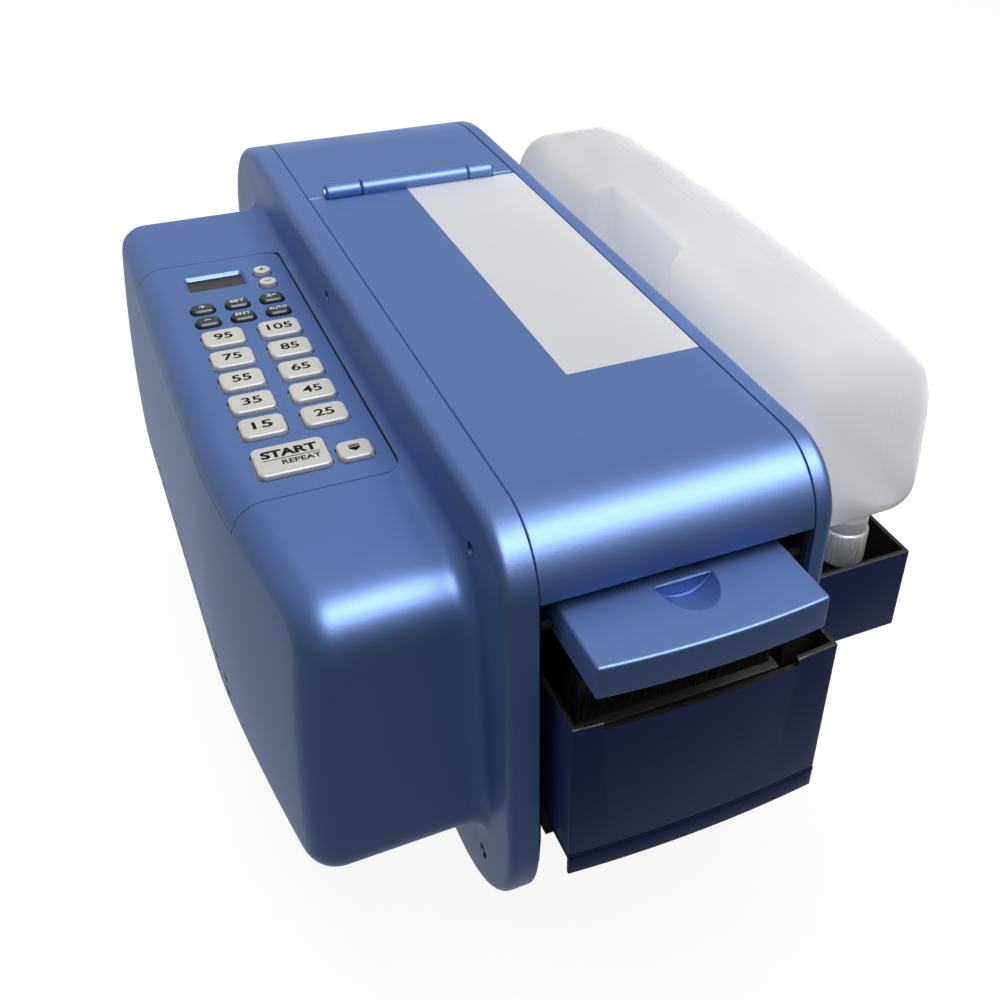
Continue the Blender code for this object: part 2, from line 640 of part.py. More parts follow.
def make_brush_tank(navy, black):
    base = PAN_TOP + SEAT
    origin = (CENTRE_X, 0, base)
    tank = piece("brush_tank", prism("z", (base, TANK_TOP), tank_outline(0)), navy, origin)
    cut(tank, prism("z", (base + TANK_WALL, TANK_TOP + 5), tank_outline(TANK_WALL)))
    notch_x = (TANK_LEFT + 14, RIGHT_X - 22)
    cut(tank, box(notch_x, (TANK_FRONT - 10, TANK_FRONT + 5), (TANK_TOP - TANK_NOTCH, TANK_TOP + 5)))
    cut(tank, rod("x", (TANK_RIGHT - 5, TANK_RIGHT + 5), (SPOUT["y"], SPOUT_Z), SPOUT["bore"], 12))
    low, high = TANK_LEFT + 6, TANK_RIGHT - 8
    floor = base + TANK_WALL + SEAT
    holder_top = TANK_TOP - 11
    leg = 5
    holder = prism("y", (-10, 12), (
        (low, floor), (low + leg, floor), (low + leg, holder_top - 10), (high - leg, holder_top - 10),
        (high - leg, floor), (high, floor), (high, holder_top), (low, holder_top)))
    brush = piece("wetting_brush", holder, black, origin)
    join(brush, box((low + 1, high - 1), (-9, 9), (holder_top - 2, TAPE_Z - 3)))


def make_side_reservoir(navy, black):
    x = (RIGHT_X + SEAT, RIGHT_X + RESERVOIR_WIDTH)
    y = (RESERVOIR_FRONT, RESERVOIR_REAR)
    z = (TANK_TOP - RESERVOIR_HEIGHT, TANK_TOP)
    tray = piece("side_reservoir", prism("z", z, rounded((x[0], y[0]), (x[1], y[1]), (0, 0, 0, 3))), navy)
    wall = TANK_WALL
    cut(tray, prism("z", (z[0] + wall, z[1] + 5), rounded(
        (x[0] + wall, y[0] + wall), (x[1] - wall, y[1] - wall), (0, 0, 0, 1))))
    centre = (SPOUT["y"], SPOUT_Z)
    cut(tray, rod("x", (x[0] - 5, x[0] + wall + 2), centre, SPOUT["radius"] + SEAT, 16))
    left, right = TANK_RIGHT + SEAT, x[0] + wall + 1.5
    bore, radius = SPOUT["bore"], SPOUT["radius"]
    profile = [(left, bore), (left, radius), (right, radius), (right, bore)]
    piece("water_spout", turned("x", centre, profile, 16), black)


def bottle_wall_x(y):
    """The outer wall is widest a third of the way back and narrows towards both ends."""
    nose_share = min(max(1 - (y - BOTTLE_FRONT) / 100, 0.0), 1.0)
    tail_share = max(y - 200, 0.0) / (BOTTLE_FRONT + BOTTLE_LENGTH - 200)
    return SIDE_RIGHT - BOTTLE_TAPER[0] * nose_share ** 1.5 - BOTTLE_TAPER[1] * min(tail_share, 1.0) ** 2


def bottle_lean(x, z):
    """The outer wall leans in towards its top, and the inner wall stands upright."""
    low_x = RIGHT_X + BOTTLE_GAP
    height = (z - BOTTLE_Z) / (BOTTLE_DROP + BOTTLE_RISE)
    return -BOTTLE_LEAN * height ** 2 * min(max((x - low_x - 30) / 30, 0), 1)


def bottle_shape(inset):
    """The bottle's body, lofted from front to rear, with rounded ends."""
    low_x = RIGHT_X + BOTTLE_GAP + inset
    low_z, high_z = BOTTLE_Z + inset, TOP_Z + BOTTLE_RISE - inset
    front, rear = BOTTLE_FRONT + inset, BOTTLE_FRONT + BOTTLE_LENGTH - inset
    nose = {side: radius - inset for side, radius in BOTTLE_NOSE_R.items()}
    tail = {side: radius - inset for side, radius in BOTTLE_TAIL_R.items()}
    middle = [BOTTLE_FRONT + distance for distance in (45, 75, 110, 180, 230, 265)]
    stations = [front + step for step in arc_stations(nose["top"], 5)] + middle
    stations += [rear - step for step in reversed(arc_stations(tail["top"], 5))]
    rings = []
    for y in stations:
        fall = {side: max(drop(y - front, nose[side]), drop(rear - y, tail[side])) for side in nose}
        low = (low_x + fall["inner"], low_z + fall["bottom"])
        high = (bottle_wall_x(y) - inset - fall["side"], high_z - fall["top"])
        limit = 0.45 * min(high[0] - low[0], high[1] - low[1])
        outline = rounded(low, high, [min(radius - inset, limit) for radius in BOTTLE_SECTION_R], steps=4)
        rings.append([(x + bottle_lean(x, z), y, z) for x, z in outline])
    return loft(rings)


def recess_box(grow):
    low_x = RIGHT_X + BOTTLE_GAP
    return box(
        (low_x - 20, low_x + BOTTLE_RECESS["depth"] + grow),
        (BOTTLE_RECESS["front"] - grow, BOTTLE_RECESS["rear"] + grow),
        (BOTTLE_Z + BOTTLE_RECESS["floor"] - grow, TOP_Z + BOTTLE_RISE + 20))


def make_bottle(milky, white):
    centre = (NECK["x"], NECK["y"])
    origin = (*centre, BOTTLE_Z)
    bottle = piece("water_bottle", bottle_shape(0), milky, origin)
    cut(bottle, recess_box(0))
    neck_end = BOTTLE_Z - NECK["length"]
    join(bottle, rod("z", (neck_end, BOTTLE_Z + 1), centre, NECK["radius"], 24))
    hollow = helper("bottle_hollow", bottle_shape(BOTTLE_WALL))
    cut(bottle, cut(hollow, recess_box(BOTTLE_WALL)))
    cut(bottle, rod("z", (neck_end - 1, BOTTLE_Z + BOTTLE_WALL + 1), centre, NECK["bore"], 24))
    top = neck_end + CAP["overlap"]
    base = top - CAP["length"]
    inner = NECK["radius"] + SEAT
    outer = inner + CAP["wall"]
    profile = [
        (base, CAP["vent"]), (base, outer - 1), (base + 1, outer), (top, outer),
        (top, inner), (base + CAP["base"], inner), (base + CAP["base"], CAP["vent"])]
    piece("bottle_cap", turned("z", centre, profile, 28), white, origin)


def roll_roller_z():
    return PAN_TOP + ROLL_ROLLER_CLEAR + ROLL_ROLLER_R


def roll_roller_ys():
    return (ROLL_Y - ROLL_ROLLER_SPREAD, ROLL_Y + ROLL_ROLLER_SPREAD)


def shaft_profile(drum_x, drum_r, ends, shaft_r):
    return [
        (ends[0], 0), (ends[0], shaft_r), (drum_x[0], shaft_r), (drum_x[0], drum_r),
        (drum_x[1], drum_r), (drum_x[1], shaft_r), (ends[1], shaft_r), (ends[1], 0)]


def make_roll(paper, roller_grey):
    reach = ROLL_R + ROLL_ROLLER_R + SEAT
    roll_z = roll_roller_z() + math.sqrt(reach ** 2 - ROLL_ROLLER_SPREAD ** 2)
    x = (CENTRE_X - ROLL_WIDTH / 2, CENTRE_X + ROLL_WIDTH / 2)
    profile = [(x[0], ROLL_CORE_R), (x[0], ROLL_R), (x[1], ROLL_R), (x[1], ROLL_CORE_R)]
    piece("tape_roll", turned("x", (ROLL_Y, roll_z), profile, 36), paper, (CENTRE_X, ROLL_Y, roll_z))
    ends = (2 * SEAT, LID_WIDTH - 2 * SEAT)
    for name, y in zip(("roll_roller_front", "roll_roller_rear"), roll_roller_ys()):
        centre = (y, roll_roller_z())
        shape = turned("x", centre, shaft_profile((8, LID_WIDTH - 8), ROLL_ROLLER_R, ends, STUB_R), 20)
        piece(name, shape, roller_grey, (CENTRE_X, *centre))


def make_feed(rubber, steel):
    feed = (FEED_Y, FEED_Z)
    ends = (BELT_X[0] - 3, LID_WIDTH - 2 * SEAT)
    drum = turned("x", feed, shaft_profile(DRUM_X, FEED_R, ends, STUB_R))
    piece("feed_roller", drum, rubber, (CENTRE_X, *feed))
    press = (FEED_Y, PRESS_Z)
    arms = [(DRUM_X[0] - ARM_THICK - 3, DRUM_X[0] - 3), (DRUM_X[1] + 3, DRUM_X[1] + ARM_THICK + 3)]
    roller = shaft_profile(DRUM_X, PRESS_R, (arms[0][0], arms[1][1]), STUB_R)
    piece("pressure_roller", turned("x", press, roller), rubber, (CENTRE_X, *press))
    pivot = (ARM_PIVOT[0], ARM_Z)
    shaft = rod("x", (2 * SEAT, LID_WIDTH - 2 * SEAT), pivot, STUB_R, 16)
    arm = piece("pressure_arm", shaft, steel, (CENTRE_X, *pivot))
    tilt = math.degrees(math.atan2(pivot[1] - press[1], pivot[0] - press[0]))
    outline = arc(press, ARM_R, tilt + 90, tilt + 270, 6) + arc(pivot, ARM_R, tilt - 90, tilt + 90, 6)
    for ends in arms:
        join(arm, prism("x", ends, outline))
    cut(arm, rod("x", (arms[0][0] - 3, arms[1][1] + 3), press, STUB_R + SEAT, 16))


def pulley_profile(radius, bore):
    low, high = BELT_X[0] - 1, BELT_X[1] + 1
    rim = radius + BELT_THICK
    return [
        (low - 1, bore), (low - 1, rim), (low, rim), (low, radius),
        (high, radius), (high, rim), (high + 1, rim), (high + 1, bore)]


def belt_outline(grow):
    """The belt round both pulleys, which stand one above the other."""
    rise = FEED_Z - MOTOR_Z
    lean = math.degrees(math.asin((FEED_PULLEY_R - MOTOR_PULLEY_R) / rise))
    upper = arc((FEED_Y, FEED_Z), FEED_PULLEY_R + grow, -lean, 180 + lean, 14)
    lower = arc((FEED_Y, MOTOR_Z), MOTOR_PULLEY_R + grow, 180 + lean, 360 - lean, 12)
    return upper + lower


def make_drive(motor_grey, alloy, rubber):
    centre = (FEED_Y, MOTOR_Z)
    back, face = MOTOR_X
    body = [(back, 0), (back, MOTOR_R - 3), (back + 3, MOTOR_R), (face - 3, MOTOR_R), (face - 3, 0)]
    motor = piece("drive_motor", turned("x", centre, body), motor_grey)
    half = POST_SPREAD + 6
    join(motor, box((face - 4, face), (FEED_Y - half, FEED_Y + half), (MOTOR_Z - half, MOTOR_Z + half)))
    posts = [rod("x", (face - 1, 0), (FEED_Y + dy, MOTOR_Z + dz), 4, 10)
             for dy in (-POST_SPREAD, POST_SPREAD) for dz in (-POST_SPREAD, POST_SPREAD)]
    join(motor, group(*posts))
    join(motor, rod("x", (face - 1, BELT_X[1] + 3), centre, STUB_R, 16))
    for name, axis, radius in (
            ("motor_pulley", centre, MOTOR_PULLEY_R), ("feed_pulley", (FEED_Y, FEED_Z), FEED_PULLEY_R)):
        wheel = turned("x", axis, pulley_profile(radius, STUB_R + SEAT))
        piece(name, wheel, alloy, (BELT_X[0], *axis))
    belt = piece("drive_belt", prism("x", BELT_X, belt_outline(SEAT + BELT_THICK)), rubber)
    cut(belt, prism("x", (BELT_X[0] - 5, BELT_X[1] + 5), belt_outline(SEAT)))


def make_cutter(steel, black):
    side = SEAT + STEEL + SEAT
    front = BLADE_Y + BLADE_THICK + SEAT
    fixed = box((side, LID_WIDTH - side), (front, front + FIXED_BLADE), (TAPE_Z - 17, TAPE_Z - 3))
    piece("fixed_blade", fixed, steel)
    low, high = 8.0, LID_WIDTH - 8.0
    blade_z = (TAPE_Z + 5, TAPE_Z + 21)
    bar_z = TAPE_Z - 46
    leg = 6.0
    origin = (CENTRE_X, BLADE_Y + BLADE_THICK / 2, bar_z)
    frame = piece("moving_blade", prism("y", (BLADE_Y, BLADE_Y + BLADE_THICK), (
        (low, bar_z), (high, bar_z), (high, blade_z[1]), (low, blade_z[1]))), steel, origin)
    cut(frame, box((low + leg, high - leg), (BLADE_Y - 5, BLADE_Y + 5), (bar_z + 10, blade_z[0])))
    centre = (CENTRE_X, BLADE_Y + BLADE_THICK / 2)
    base = PAN_TOP + SEAT
    solenoid_top = base + SOLENOID["height"]
    join(frame, rod("z", (solenoid_top - 22, bar_z + 5), centre, SOLENOID["plunger"], 16))
    solenoid_x = (CENTRE_X - SOLENOID["width"] / 2, CENTRE_X + SOLENOID["width"] / 2)
    coil = box(solenoid_x, (SOLENOID["front"], SOLENOID["rear"]), (base, solenoid_top))
    solenoid = piece("cutter_solenoid", coil, black)
    cut(solenoid, rod("z", (base + 5, solenoid_top + 5), centre, SOLENOID["bore"], 16))


def make_power(steel, black):
    plate_x = (-STEEL - 1, 0)
    y, z = SUPPLY_Y, SUPPLY_Z
    supply = piece("power_supply", box(plate_x, y, z), steel)
    join(supply, box((-62, -2), (y[0] + 8, y[0] + 68), (z[0] + 15, z[0] + 75)))
    capacitors = [rod("x", (-34, -2), (y[1] - 22, z[0] + 22 + 30 * row), 9, 14) for row in range(2)]
    join(supply, group(*capacitors))
    x, height = INLET["x"], INLET["z"]
    half_w, half_h = (value / 2 for value in INLET["flange"])
    body_w, body_h = (value / 2 for value in INLET["body"])
    rear = BULGE_REAR
    flange_z = (height - half_h, height + half_h)
    flange = box((x - half_w, x + half_w), (rear + SEAT, rear + SEAT + 2), flange_z)
    inlet = piece("mains_inlet", flange, black)
    body_z = (height - body_h, height + body_h)
    join(inlet, box((x - body_w, x + body_w), (rear - INLET["depth"], rear + 1), body_z))
    cut(inlet, box((x - 10.5, x + 10.5), (rear - 14, rear + 5), (height - 24, height - 8)))
    pivot = (rear - 2.5, height + SWITCH_RISE)
    cut(inlet, box((x - 6.3, x + 6.3), (rear - 10, rear + 5), (pivot[1] - 9.8, pivot[1] + 9.8)))
    rocker = [(-3, -8), (3.5, -8), (4.8, 0), (7.4, 8), (-3, 8)]
    piece("power_switch", prism("x", (x - 6, x + 6), [(pivot[0] + u, pivot[1] + v) for u, v in rocker]),
          black, (x, *pivot))


def make_feet(rubber):
    top = SKIRT_Z + PLATE_INSET - SEAT
    for side, x in (("left", FOOT_INSET), ("right", LID_WIDTH - FOOT_INSET)):
        for end, y in zip(("front", "rear"), FOOT_YS):
            profile = [(0, 0), (0, FOOT_R - 2), (top, FOOT_R), (top, 0)]
            piece(f"foot_{side}_{end}", turned("z", (x, y), profile, 20), rubber)


def main():
    global scene_root
    clear_scene()
    scene_root = bpy.data.objects.new("machine", None)
    bpy.context.scene.collection.objects.link(scene_root)
    scene_root.location = (-MACHINE_CENTRE[0] * 0.001, -MACHINE_CENTRE[1] * 0.001, 0)
    blue = finish("satin_blue", (0.13, 0.23, 0.45), 0.35, 0.5)
    navy = finish("dark_navy", (0.03, 0.05, 0.13), 0.4, 0.3)
    steel = finish("sheet_steel", (0.55, 0.56, 0.58), 0.35, 0.9)
    black = finish("black_plastic", (0.02, 0.02, 0.02), 0.5, 0)
    rubber = finish("rubber", (0.03, 0.03, 0.03), 0.8, 0)
    milky = finish("milky_plastic", (0.85, 0.87, 0.88), 0.4, 0)
    white = finish("cap_white", (0.85, 0.85, 0.84), 0.45, 0)
    glass = finish("display_glass", (0.05, 0.04, 0.05), 0.1, 0)
    green = finish("board_green", (0.03, 0.2, 0.08), 0.5, 0)
    paper = finish("kraft_paper", (0.5, 0.34, 0.18), 0.8, 0)
    grey = finish("roller_grey", (0.35, 0.35, 0.36), 0.5, 0)
    alloy = finish("alloy", (0.7, 0.7, 0.72), 0.3, 0.9)
    keys = {
        "key_white": finish("key_white", (0.78, 0.76, 0.7), 0.5, 0),
        "key_dark": finish("key_dark", (0.04, 0.06, 0.06), 0.6, 0),
    }
    make_left_housing(blue)
    make_keypad(blue, glass, green, keys)
    make_side_plates(steel)
    make_right_cover(blue)
    make_lid_and_rear(blue, steel)
    make_heater_cover(blue, black, steel)
    make_base_pan(navy)
    make_brush_tank(navy, black)
    make_side_reservoir(navy, black)
    make_bottle(milky, white)
    make_roll(paper, grey)
    make_feed(rubber, steel)
    make_drive(grey, alloy, rubber)
    make_cutter(steel, black)
    make_power(steel, black)
    make_feet(rubber)


main()
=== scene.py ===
import math
import random

import bmesh
import bpy
from mathutils import Matrix, Vector


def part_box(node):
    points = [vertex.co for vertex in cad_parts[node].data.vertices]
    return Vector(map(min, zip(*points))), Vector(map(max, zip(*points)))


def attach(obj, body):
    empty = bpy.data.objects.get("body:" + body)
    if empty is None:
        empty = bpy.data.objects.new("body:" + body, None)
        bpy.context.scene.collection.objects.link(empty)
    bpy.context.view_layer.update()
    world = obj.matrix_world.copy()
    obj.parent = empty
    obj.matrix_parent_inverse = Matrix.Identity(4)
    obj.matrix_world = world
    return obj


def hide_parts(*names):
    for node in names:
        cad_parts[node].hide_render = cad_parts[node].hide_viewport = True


# Lengths are millimetres from the seam point: the lid's left seam, the front of the side
# covers and the floor. addPiece turns them into metres in the frame.
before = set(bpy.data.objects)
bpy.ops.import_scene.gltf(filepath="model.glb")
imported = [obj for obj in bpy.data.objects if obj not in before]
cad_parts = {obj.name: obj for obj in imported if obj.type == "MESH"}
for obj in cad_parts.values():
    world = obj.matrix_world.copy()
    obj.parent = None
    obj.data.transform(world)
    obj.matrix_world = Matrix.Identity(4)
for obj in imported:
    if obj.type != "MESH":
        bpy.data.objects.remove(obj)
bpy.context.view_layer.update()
millimetre = 0.001
seamPoint = Vector((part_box("lid")[0].x - 0.5 * millimetre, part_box("left_housing")[0].y, 0))
axisVectors = {"x": Vector((1, 0, 0)), "y": Vector((0, 1, 0)), "z": Vector((0, 0, 1))}
print("frame loaded:", len(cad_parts), "nodes")


def place(axis, along, point):
    coordinates = list(point)
    coordinates.insert("xyz".index(axis), along)
    return Vector(coordinates)


def nodeBox(node):
    low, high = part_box(node)
    return (low - seamPoint) / millimetre, (high - seamPoint) / millimetre


def arc(centre, radius, start, end, steps):
    angles = [math.radians(start + (end - start) * step / steps) for step in range(steps + 1)]
    return [(centre[0] + radius * math.cos(a), centre[1] + radius * math.sin(a)) for a in angles]


def softenEdges(bm, width, segments=3, angle=35, where=None):
    chosen = []
    for edge in bm.edges:
        middle = (edge.verts[0].co + edge.verts[1].co) / 2
        sharp = edge.is_manifold and edge.calc_face_angle() > math.radians(angle)
        if sharp and (where is None or where(middle)):
            chosen.append(edge)
    bmesh.ops.bevel(
        bm, geom=chosen, offset=width, offset_type="OFFSET", segments=segments, profile=0.5,
        affect="EDGES", material=-1, clamp_overlap=True)
    return bm


def boxShape(low, high, edge=0.0, segments=2):
    bm = bmesh.new()
    bmesh.ops.create_cube(bm, size=1)
    bmesh.ops.scale(bm, verts=bm.verts, vec=Vector(high) - Vector(low))
    bmesh.ops.translate(bm, verts=bm.verts, vec=(Vector(high) + Vector(low)) / 2)
    return softenEdges(bm, edge, segments) if edge else bm


def plateShape(axis, ends, corners, radii=(), segments=8):
    bm = bmesh.new()
    verts = [bm.verts.new(place(axis, ends[0], corner)) for corner in corners]
    bm.faces.new(verts)
    for vert, radius in zip(verts, radii):
        if radius:
            bmesh.ops.bevel(
                bm, geom=[vert], offset=radius, offset_type="OFFSET", segments=segments, profile=0.5,
                affect="VERTICES", material=-1)
    made = bmesh.ops.extrude_face_region(bm, geom=bm.faces[:])["geom"]
    moved = [item for item in made if isinstance(item, bmesh.types.BMVert)]
    bmesh.ops.translate(bm, verts=moved, vec=axisVectors[axis] * (ends[1] - ends[0]))
    bmesh.ops.recalc_face_normals(bm, faces=bm.faces[:])
    return bm


def slabShape(axis, ends, low, high, radius=0.0, segments=8):
    corners = [(low[0], low[1]), (high[0], low[1]), (high[0], high[1]), (low[0], high[1])]
    return plateShape(axis, ends, corners, [radius] * 4, segments)


def spinShape(axis, centre, profile, steps=48, edge=0.0, segments=2):
    bm = bmesh.new()
    verts = [bm.verts.new(place(axis, along, (centre[0] + radius, centre[1]))) for along, radius in profile]
    edges = [bm.edges.new(pair) for pair in zip(verts, verts[1:])]
    bmesh.ops.spin(
        bm, geom=verts + edges, cent=place(axis, 0, centre), axis=axisVectors[axis],
        angle=math.tau, steps=steps, use_merge=True)
    bmesh.ops.remove_doubles(bm, verts=bm.verts, dist=0.001)
    bmesh.ops.recalc_face_normals(bm, faces=bm.faces[:])
    return softenEdges(bm, edge, segments) if edge else bm


def ringProfile(start, end, bore, radius):
    return [(start, bore), (start, radius), (end, radius), (end, bore), (start, bore)]


def rodShape(axis, ends, centre, radius, steps=32, edge=0.0, segments=3):
    profile = [(ends[0], 0), (ends[0], radius), (ends[1], radius), (ends[1], 0)]
    return spinShape(axis, centre, profile, steps, edge, segments)


def bridgeRings(rings, caps=(True, True)):
    bm = bmesh.new()
    loops = [[bm.verts.new(point) for point in ring] for ring in rings]
    borders = []
    for loop in loops:
        borders.append([bm.edges.new(pair) for pair in zip(loop, loop[1:] + loop[:1])])
    for first, second in zip(borders, borders[1:]):
        bmesh.ops.bridge_loops(bm, edges=first + second)
    for loop, capped in zip((loops[0], loops[-1]), caps):
        if capped:
            bm.faces.new(loop)
    bmesh.ops.remove_doubles(bm, verts=bm.verts, dist=0.002)
    bmesh.ops.recalc_face_normals(bm, faces=bm.faces[:])
    return bm


def ringPoints(low, high, radii, arcSteps=8, sideSteps=(1, 1)):
    (u0, v0), (u1, v1) = low, high
    corners = ((u1, v1, -1, -1, 0), (u0, v1, 1, -1, 90), (u0, v0, 1, 1, 180), (u1, v0, -1, 1, 270))
    rounds = []
    for (u, v, inwardU, inwardV, start), radius in zip(corners, radii):
        rounds.append(arc((u + inwardU * radius, v + inwardV * radius), radius, start, start + 90, arcSteps))
    points = []
    for index, turn in enumerate(rounds):
        points += turn
        following = rounds[(index + 1) % 4][0]
        steps = sideSteps[index % 2]
        for step in range(1, steps):
            share = step / steps
            points.append(tuple(a + (b - a) * share for a, b in zip(turn[-1], following)))
    return points


def addShapes(*shapes):
    whole = bmesh.new()
    for shape in shapes:
        mesh = bpy.data.meshes.new("part")
        shape.to_mesh(mesh)
        shape.free()
        whole.from_mesh(mesh)
        bpy.data.meshes.remove(mesh)
    return whole


def asHelper(bm):
    mesh = bpy.data.meshes.new("helper")
    bm.to_mesh(mesh)
    bm.free()
    mesh.materials.append(None)
    mesh.materials.append(None)
    obj = bpy.data.objects.new("helper", mesh)
    bpy.context.scene.collection.objects.link(obj)
    return obj


def combineShapes(target, tool, operation="DIFFERENCE"):
    helpers = [asHelper(target), asHelper(tool)]
    modifier = helpers[0].modifiers.new("combine", "BOOLEAN")
    modifier.operation = operation
    modifier.object = helpers[1]
    modifier.solver = "EXACT"
    graph = bpy.context.evaluated_depsgraph_get()
    evaluated = helpers[0].evaluated_get(graph)
    result = bmesh.new()
    result.from_mesh(evaluated.to_mesh())
    evaluated.to_mesh_clear()
    for helper in helpers:
        mesh = helper.data
        bpy.data.objects.remove(helper)
        bpy.data.meshes.remove(mesh)
    return result


def cutShape(target, *tools):
    for tool in tools:
        target = combineShapes(target, tool)
    return target


def tagFaces(bm, index, where=None):
    for face in bm.faces:
        if where is None or where(face):
            face.material_index = index
    return bm


def applyModifiers(obj):
    graph = bpy.context.evaluated_depsgraph_get()
    mesh = bpy.data.meshes.new_from_object(obj.evaluated_get(graph))
    obj.modifiers.clear()
    rough, obj.data = obj.data, mesh
    name = rough.name
    bpy.data.meshes.remove(rough)
    mesh.name = name


# looks names one finish or a tuple of them, appended as the mesh's materials; a slot is worked out from the
# first one, unless slot says another, but it is not applied.
def addPiece(name, bm, looks, body, nodes=(), slot=None, smooth=32, turned=True, flatWalls=False):
    looks = looks if isinstance(looks, tuple) else (looks,)
    slot = slot or (looks[0] if looks[0] in finishes else None)
    bmesh.ops.remove_doubles(bm, verts=bm.verts, dist=0.0005)
    if turned:
        bmesh.ops.recalc_face_normals(bm, faces=bm.faces[:])
    bmesh.ops.scale(bm, verts=bm.verts, vec=(millimetre, millimetre, millimetre))
    bmesh.ops.translate(bm, verts=bm.verts, vec=seamPoint)
    mesh = bpy.data.meshes.new(name)
    bm.to_mesh(mesh)
    bm.free()
    mesh.shade_smooth()
    mesh.set_sharp_from_angle(angle=math.radians(smooth))
    for look in looks:
        mesh.materials.append((finishes | extraFinishes)[look])
    obj = bpy.data.objects.new(name, mesh)
    bpy.context.scene.collection.objects.link(obj)
    if flatWalls:
        obj.modifiers.new("even", "WEIGHTED_NORMAL").keep_sharp = True
        applyModifiers(obj)
    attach(obj, body)
    if nodes:
        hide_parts(*nodes)
    return obj


def newFinish(name, roughness=0.5, metallic=0.0, specular=0.5):
    material = bpy.data.materials.new(name)
    material.use_nodes = True
    shader = material.node_tree.nodes["Principled BSDF"]
    shader.inputs["Roughness"].default_value = roughness
    shader.inputs["Metallic"].default_value = metallic
    shader.inputs["Specular IOR Level"].default_value = specular
    return material, material.node_tree.nodes, material.node_tree.links, shader


def objectPoints(nodes, links, scale=(1, 1, 1), location=(0, 0, 0)):
    coordinates = nodes.new("ShaderNodeTexCoord")
    mapping = nodes.new("ShaderNodeMapping")
    mapping.inputs["Scale"].default_value = scale
    mapping.inputs["Location"].default_value = location
    links.new(coordinates.outputs["Object"], mapping.inputs["Vector"])
    return mapping.outputs["Vector"]


def mathOf(nodes, links, operation, *values):
    node = nodes.new("ShaderNodeMath")
    node.operation = operation
    for socket, value in zip(node.inputs, values):
        if isinstance(value, float):
            socket.default_value = value
        else:
            links.new(value, socket)
    return node.outputs["Value"]


def noiseOf(nodes, links, points, scale, detail=2.0, roughness=0.5):
    noise = nodes.new("ShaderNodeTexNoise")
    noise.inputs["Scale"].default_value = scale
    noise.inputs["Detail"].default_value = detail
    noise.inputs["Roughness"].default_value = roughness
    links.new(points, noise.inputs["Vector"])
    return noise.outputs["Fac"]


def rampOf(nodes, links, value, stops):
    ramp = nodes.new("ShaderNodeValToRGB")
    elements = ramp.color_ramp.elements
    while len(elements) < len(stops):
        elements.new(0.5)
    for element, (position, colour) in zip(elements, stops):
        element.position = position
        element.color = (*colour, 1)
    links.new(value, ramp.inputs["Fac"])
    return ramp.outputs["Color"]


def rangeOf(nodes, links, value, low, high, fromLow=0.3, fromHigh=0.7):
    spread = nodes.new("ShaderNodeMapRange")
    spread.inputs["From Min"].default_value = fromLow
    spread.inputs["From Max"].default_value = fromHigh
    spread.inputs["To Min"].default_value = low
    spread.inputs["To Max"].default_value = high
    links.new(value, spread.inputs["Value"])
    return spread.outputs["Result"]


def bumpOf(nodes, links, height, strength, distance, normal=None):
    bump = nodes.new("ShaderNodeBump")
    bump.inputs["Strength"].default_value = strength
    bump.inputs["Distance"].default_value = distance
    links.new(height, bump.inputs["Height"])
    if normal is not None:
        links.new(normal, bump.inputs["Normal"])
    return bump.outputs["Normal"]


def grainedFinish(name, colour, roughness, metallic=0.0, specular=0.5, vary=0.06, grain=900.0,
                  bump=0.15, depth=0.0002):
    material, nodes, links, shader = newFinish(name, roughness, metallic, specular)
    points = objectPoints(nodes, links)
    broad = noiseOf(nodes, links, points, 14.0, 3.0)
    darker = tuple(value * (1 - vary) for value in colour)
    lighter = tuple(min(value * (1 + vary), 1.0) for value in colour)
    links.new(rampOf(nodes, links, broad, [(0.35, darker), (0.65, lighter)]), shader.inputs["Base Color"])
    fine = noiseOf(nodes, links, points, grain, 2.0, 0.6)
    links.new(rangeOf(nodes, links, fine, roughness * 0.88, roughness * 1.12), shader.inputs["Roughness"])
    links.new(bumpOf(nodes, links, fine, bump, depth), shader.inputs["Normal"])
    return material


paint = {
    "cover": (0.090, 0.164, 0.385), "navy": (0.026, 0.041, 0.145), "metallic": 0.09,
    "roughness": 0.43, "peelScale": 1300.0, "flakeScale": 5200.0,
}


def paintFinish(name, colour, metallic, roughness, specular=0.06):
    material, nodes, links, shader = newFinish(name, roughness, metallic, specular)
    points = objectPoints(nodes, links)
    flake = noiseOf(nodes, links, points, paint["flakeScale"], 1.0)
    broad = noiseOf(nodes, links, points, 9.0, 2.0)
    darker = tuple(value * 0.90 for value in colour)
    lighter = tuple(value * 1.12 for value in colour)
    part = mathOf(nodes, links, "MULTIPLY", broad, 0.4)
    mix = mathOf(nodes, links, "MULTIPLY_ADD", flake, 0.6, part)
    tone = rampOf(nodes, links, mix, [(0.32, darker), (0.68, lighter)])
    links.new(tone, shader.inputs["Base Color"])
    links.new(rangeOf(nodes, links, flake, roughness * 0.86, roughness * 1.14), shader.inputs["Roughness"])
    peel = noiseOf(nodes, links, points, paint["peelScale"], 2.0, 0.55)
    links.new(bumpOf(nodes, links, peel, 0.42, 0.00014), shader.inputs["Normal"])
    return material


def brushedFinish(name, colour, roughness, stretch=(4, 260, 260), metallic=1.0):
    material, nodes, links, shader = newFinish(name, roughness, metallic)
    streaks = noiseOf(nodes, links, objectPoints(nodes, links, stretch), 8.0, 4.0, 0.6)
    darker = tuple(value * 0.82 for value in colour)
    links.new(rampOf(nodes, links, streaks, [(0.3, darker), (0.7, colour)]), shader.inputs["Base Color"])
    links.new(rangeOf(nodes, links, streaks, roughness * 0.8, roughness * 1.2), shader.inputs["Roughness"])
    links.new(bumpOf(nodes, links, streaks, 0.12, 0.0001), shader.inputs["Normal"])
    return material


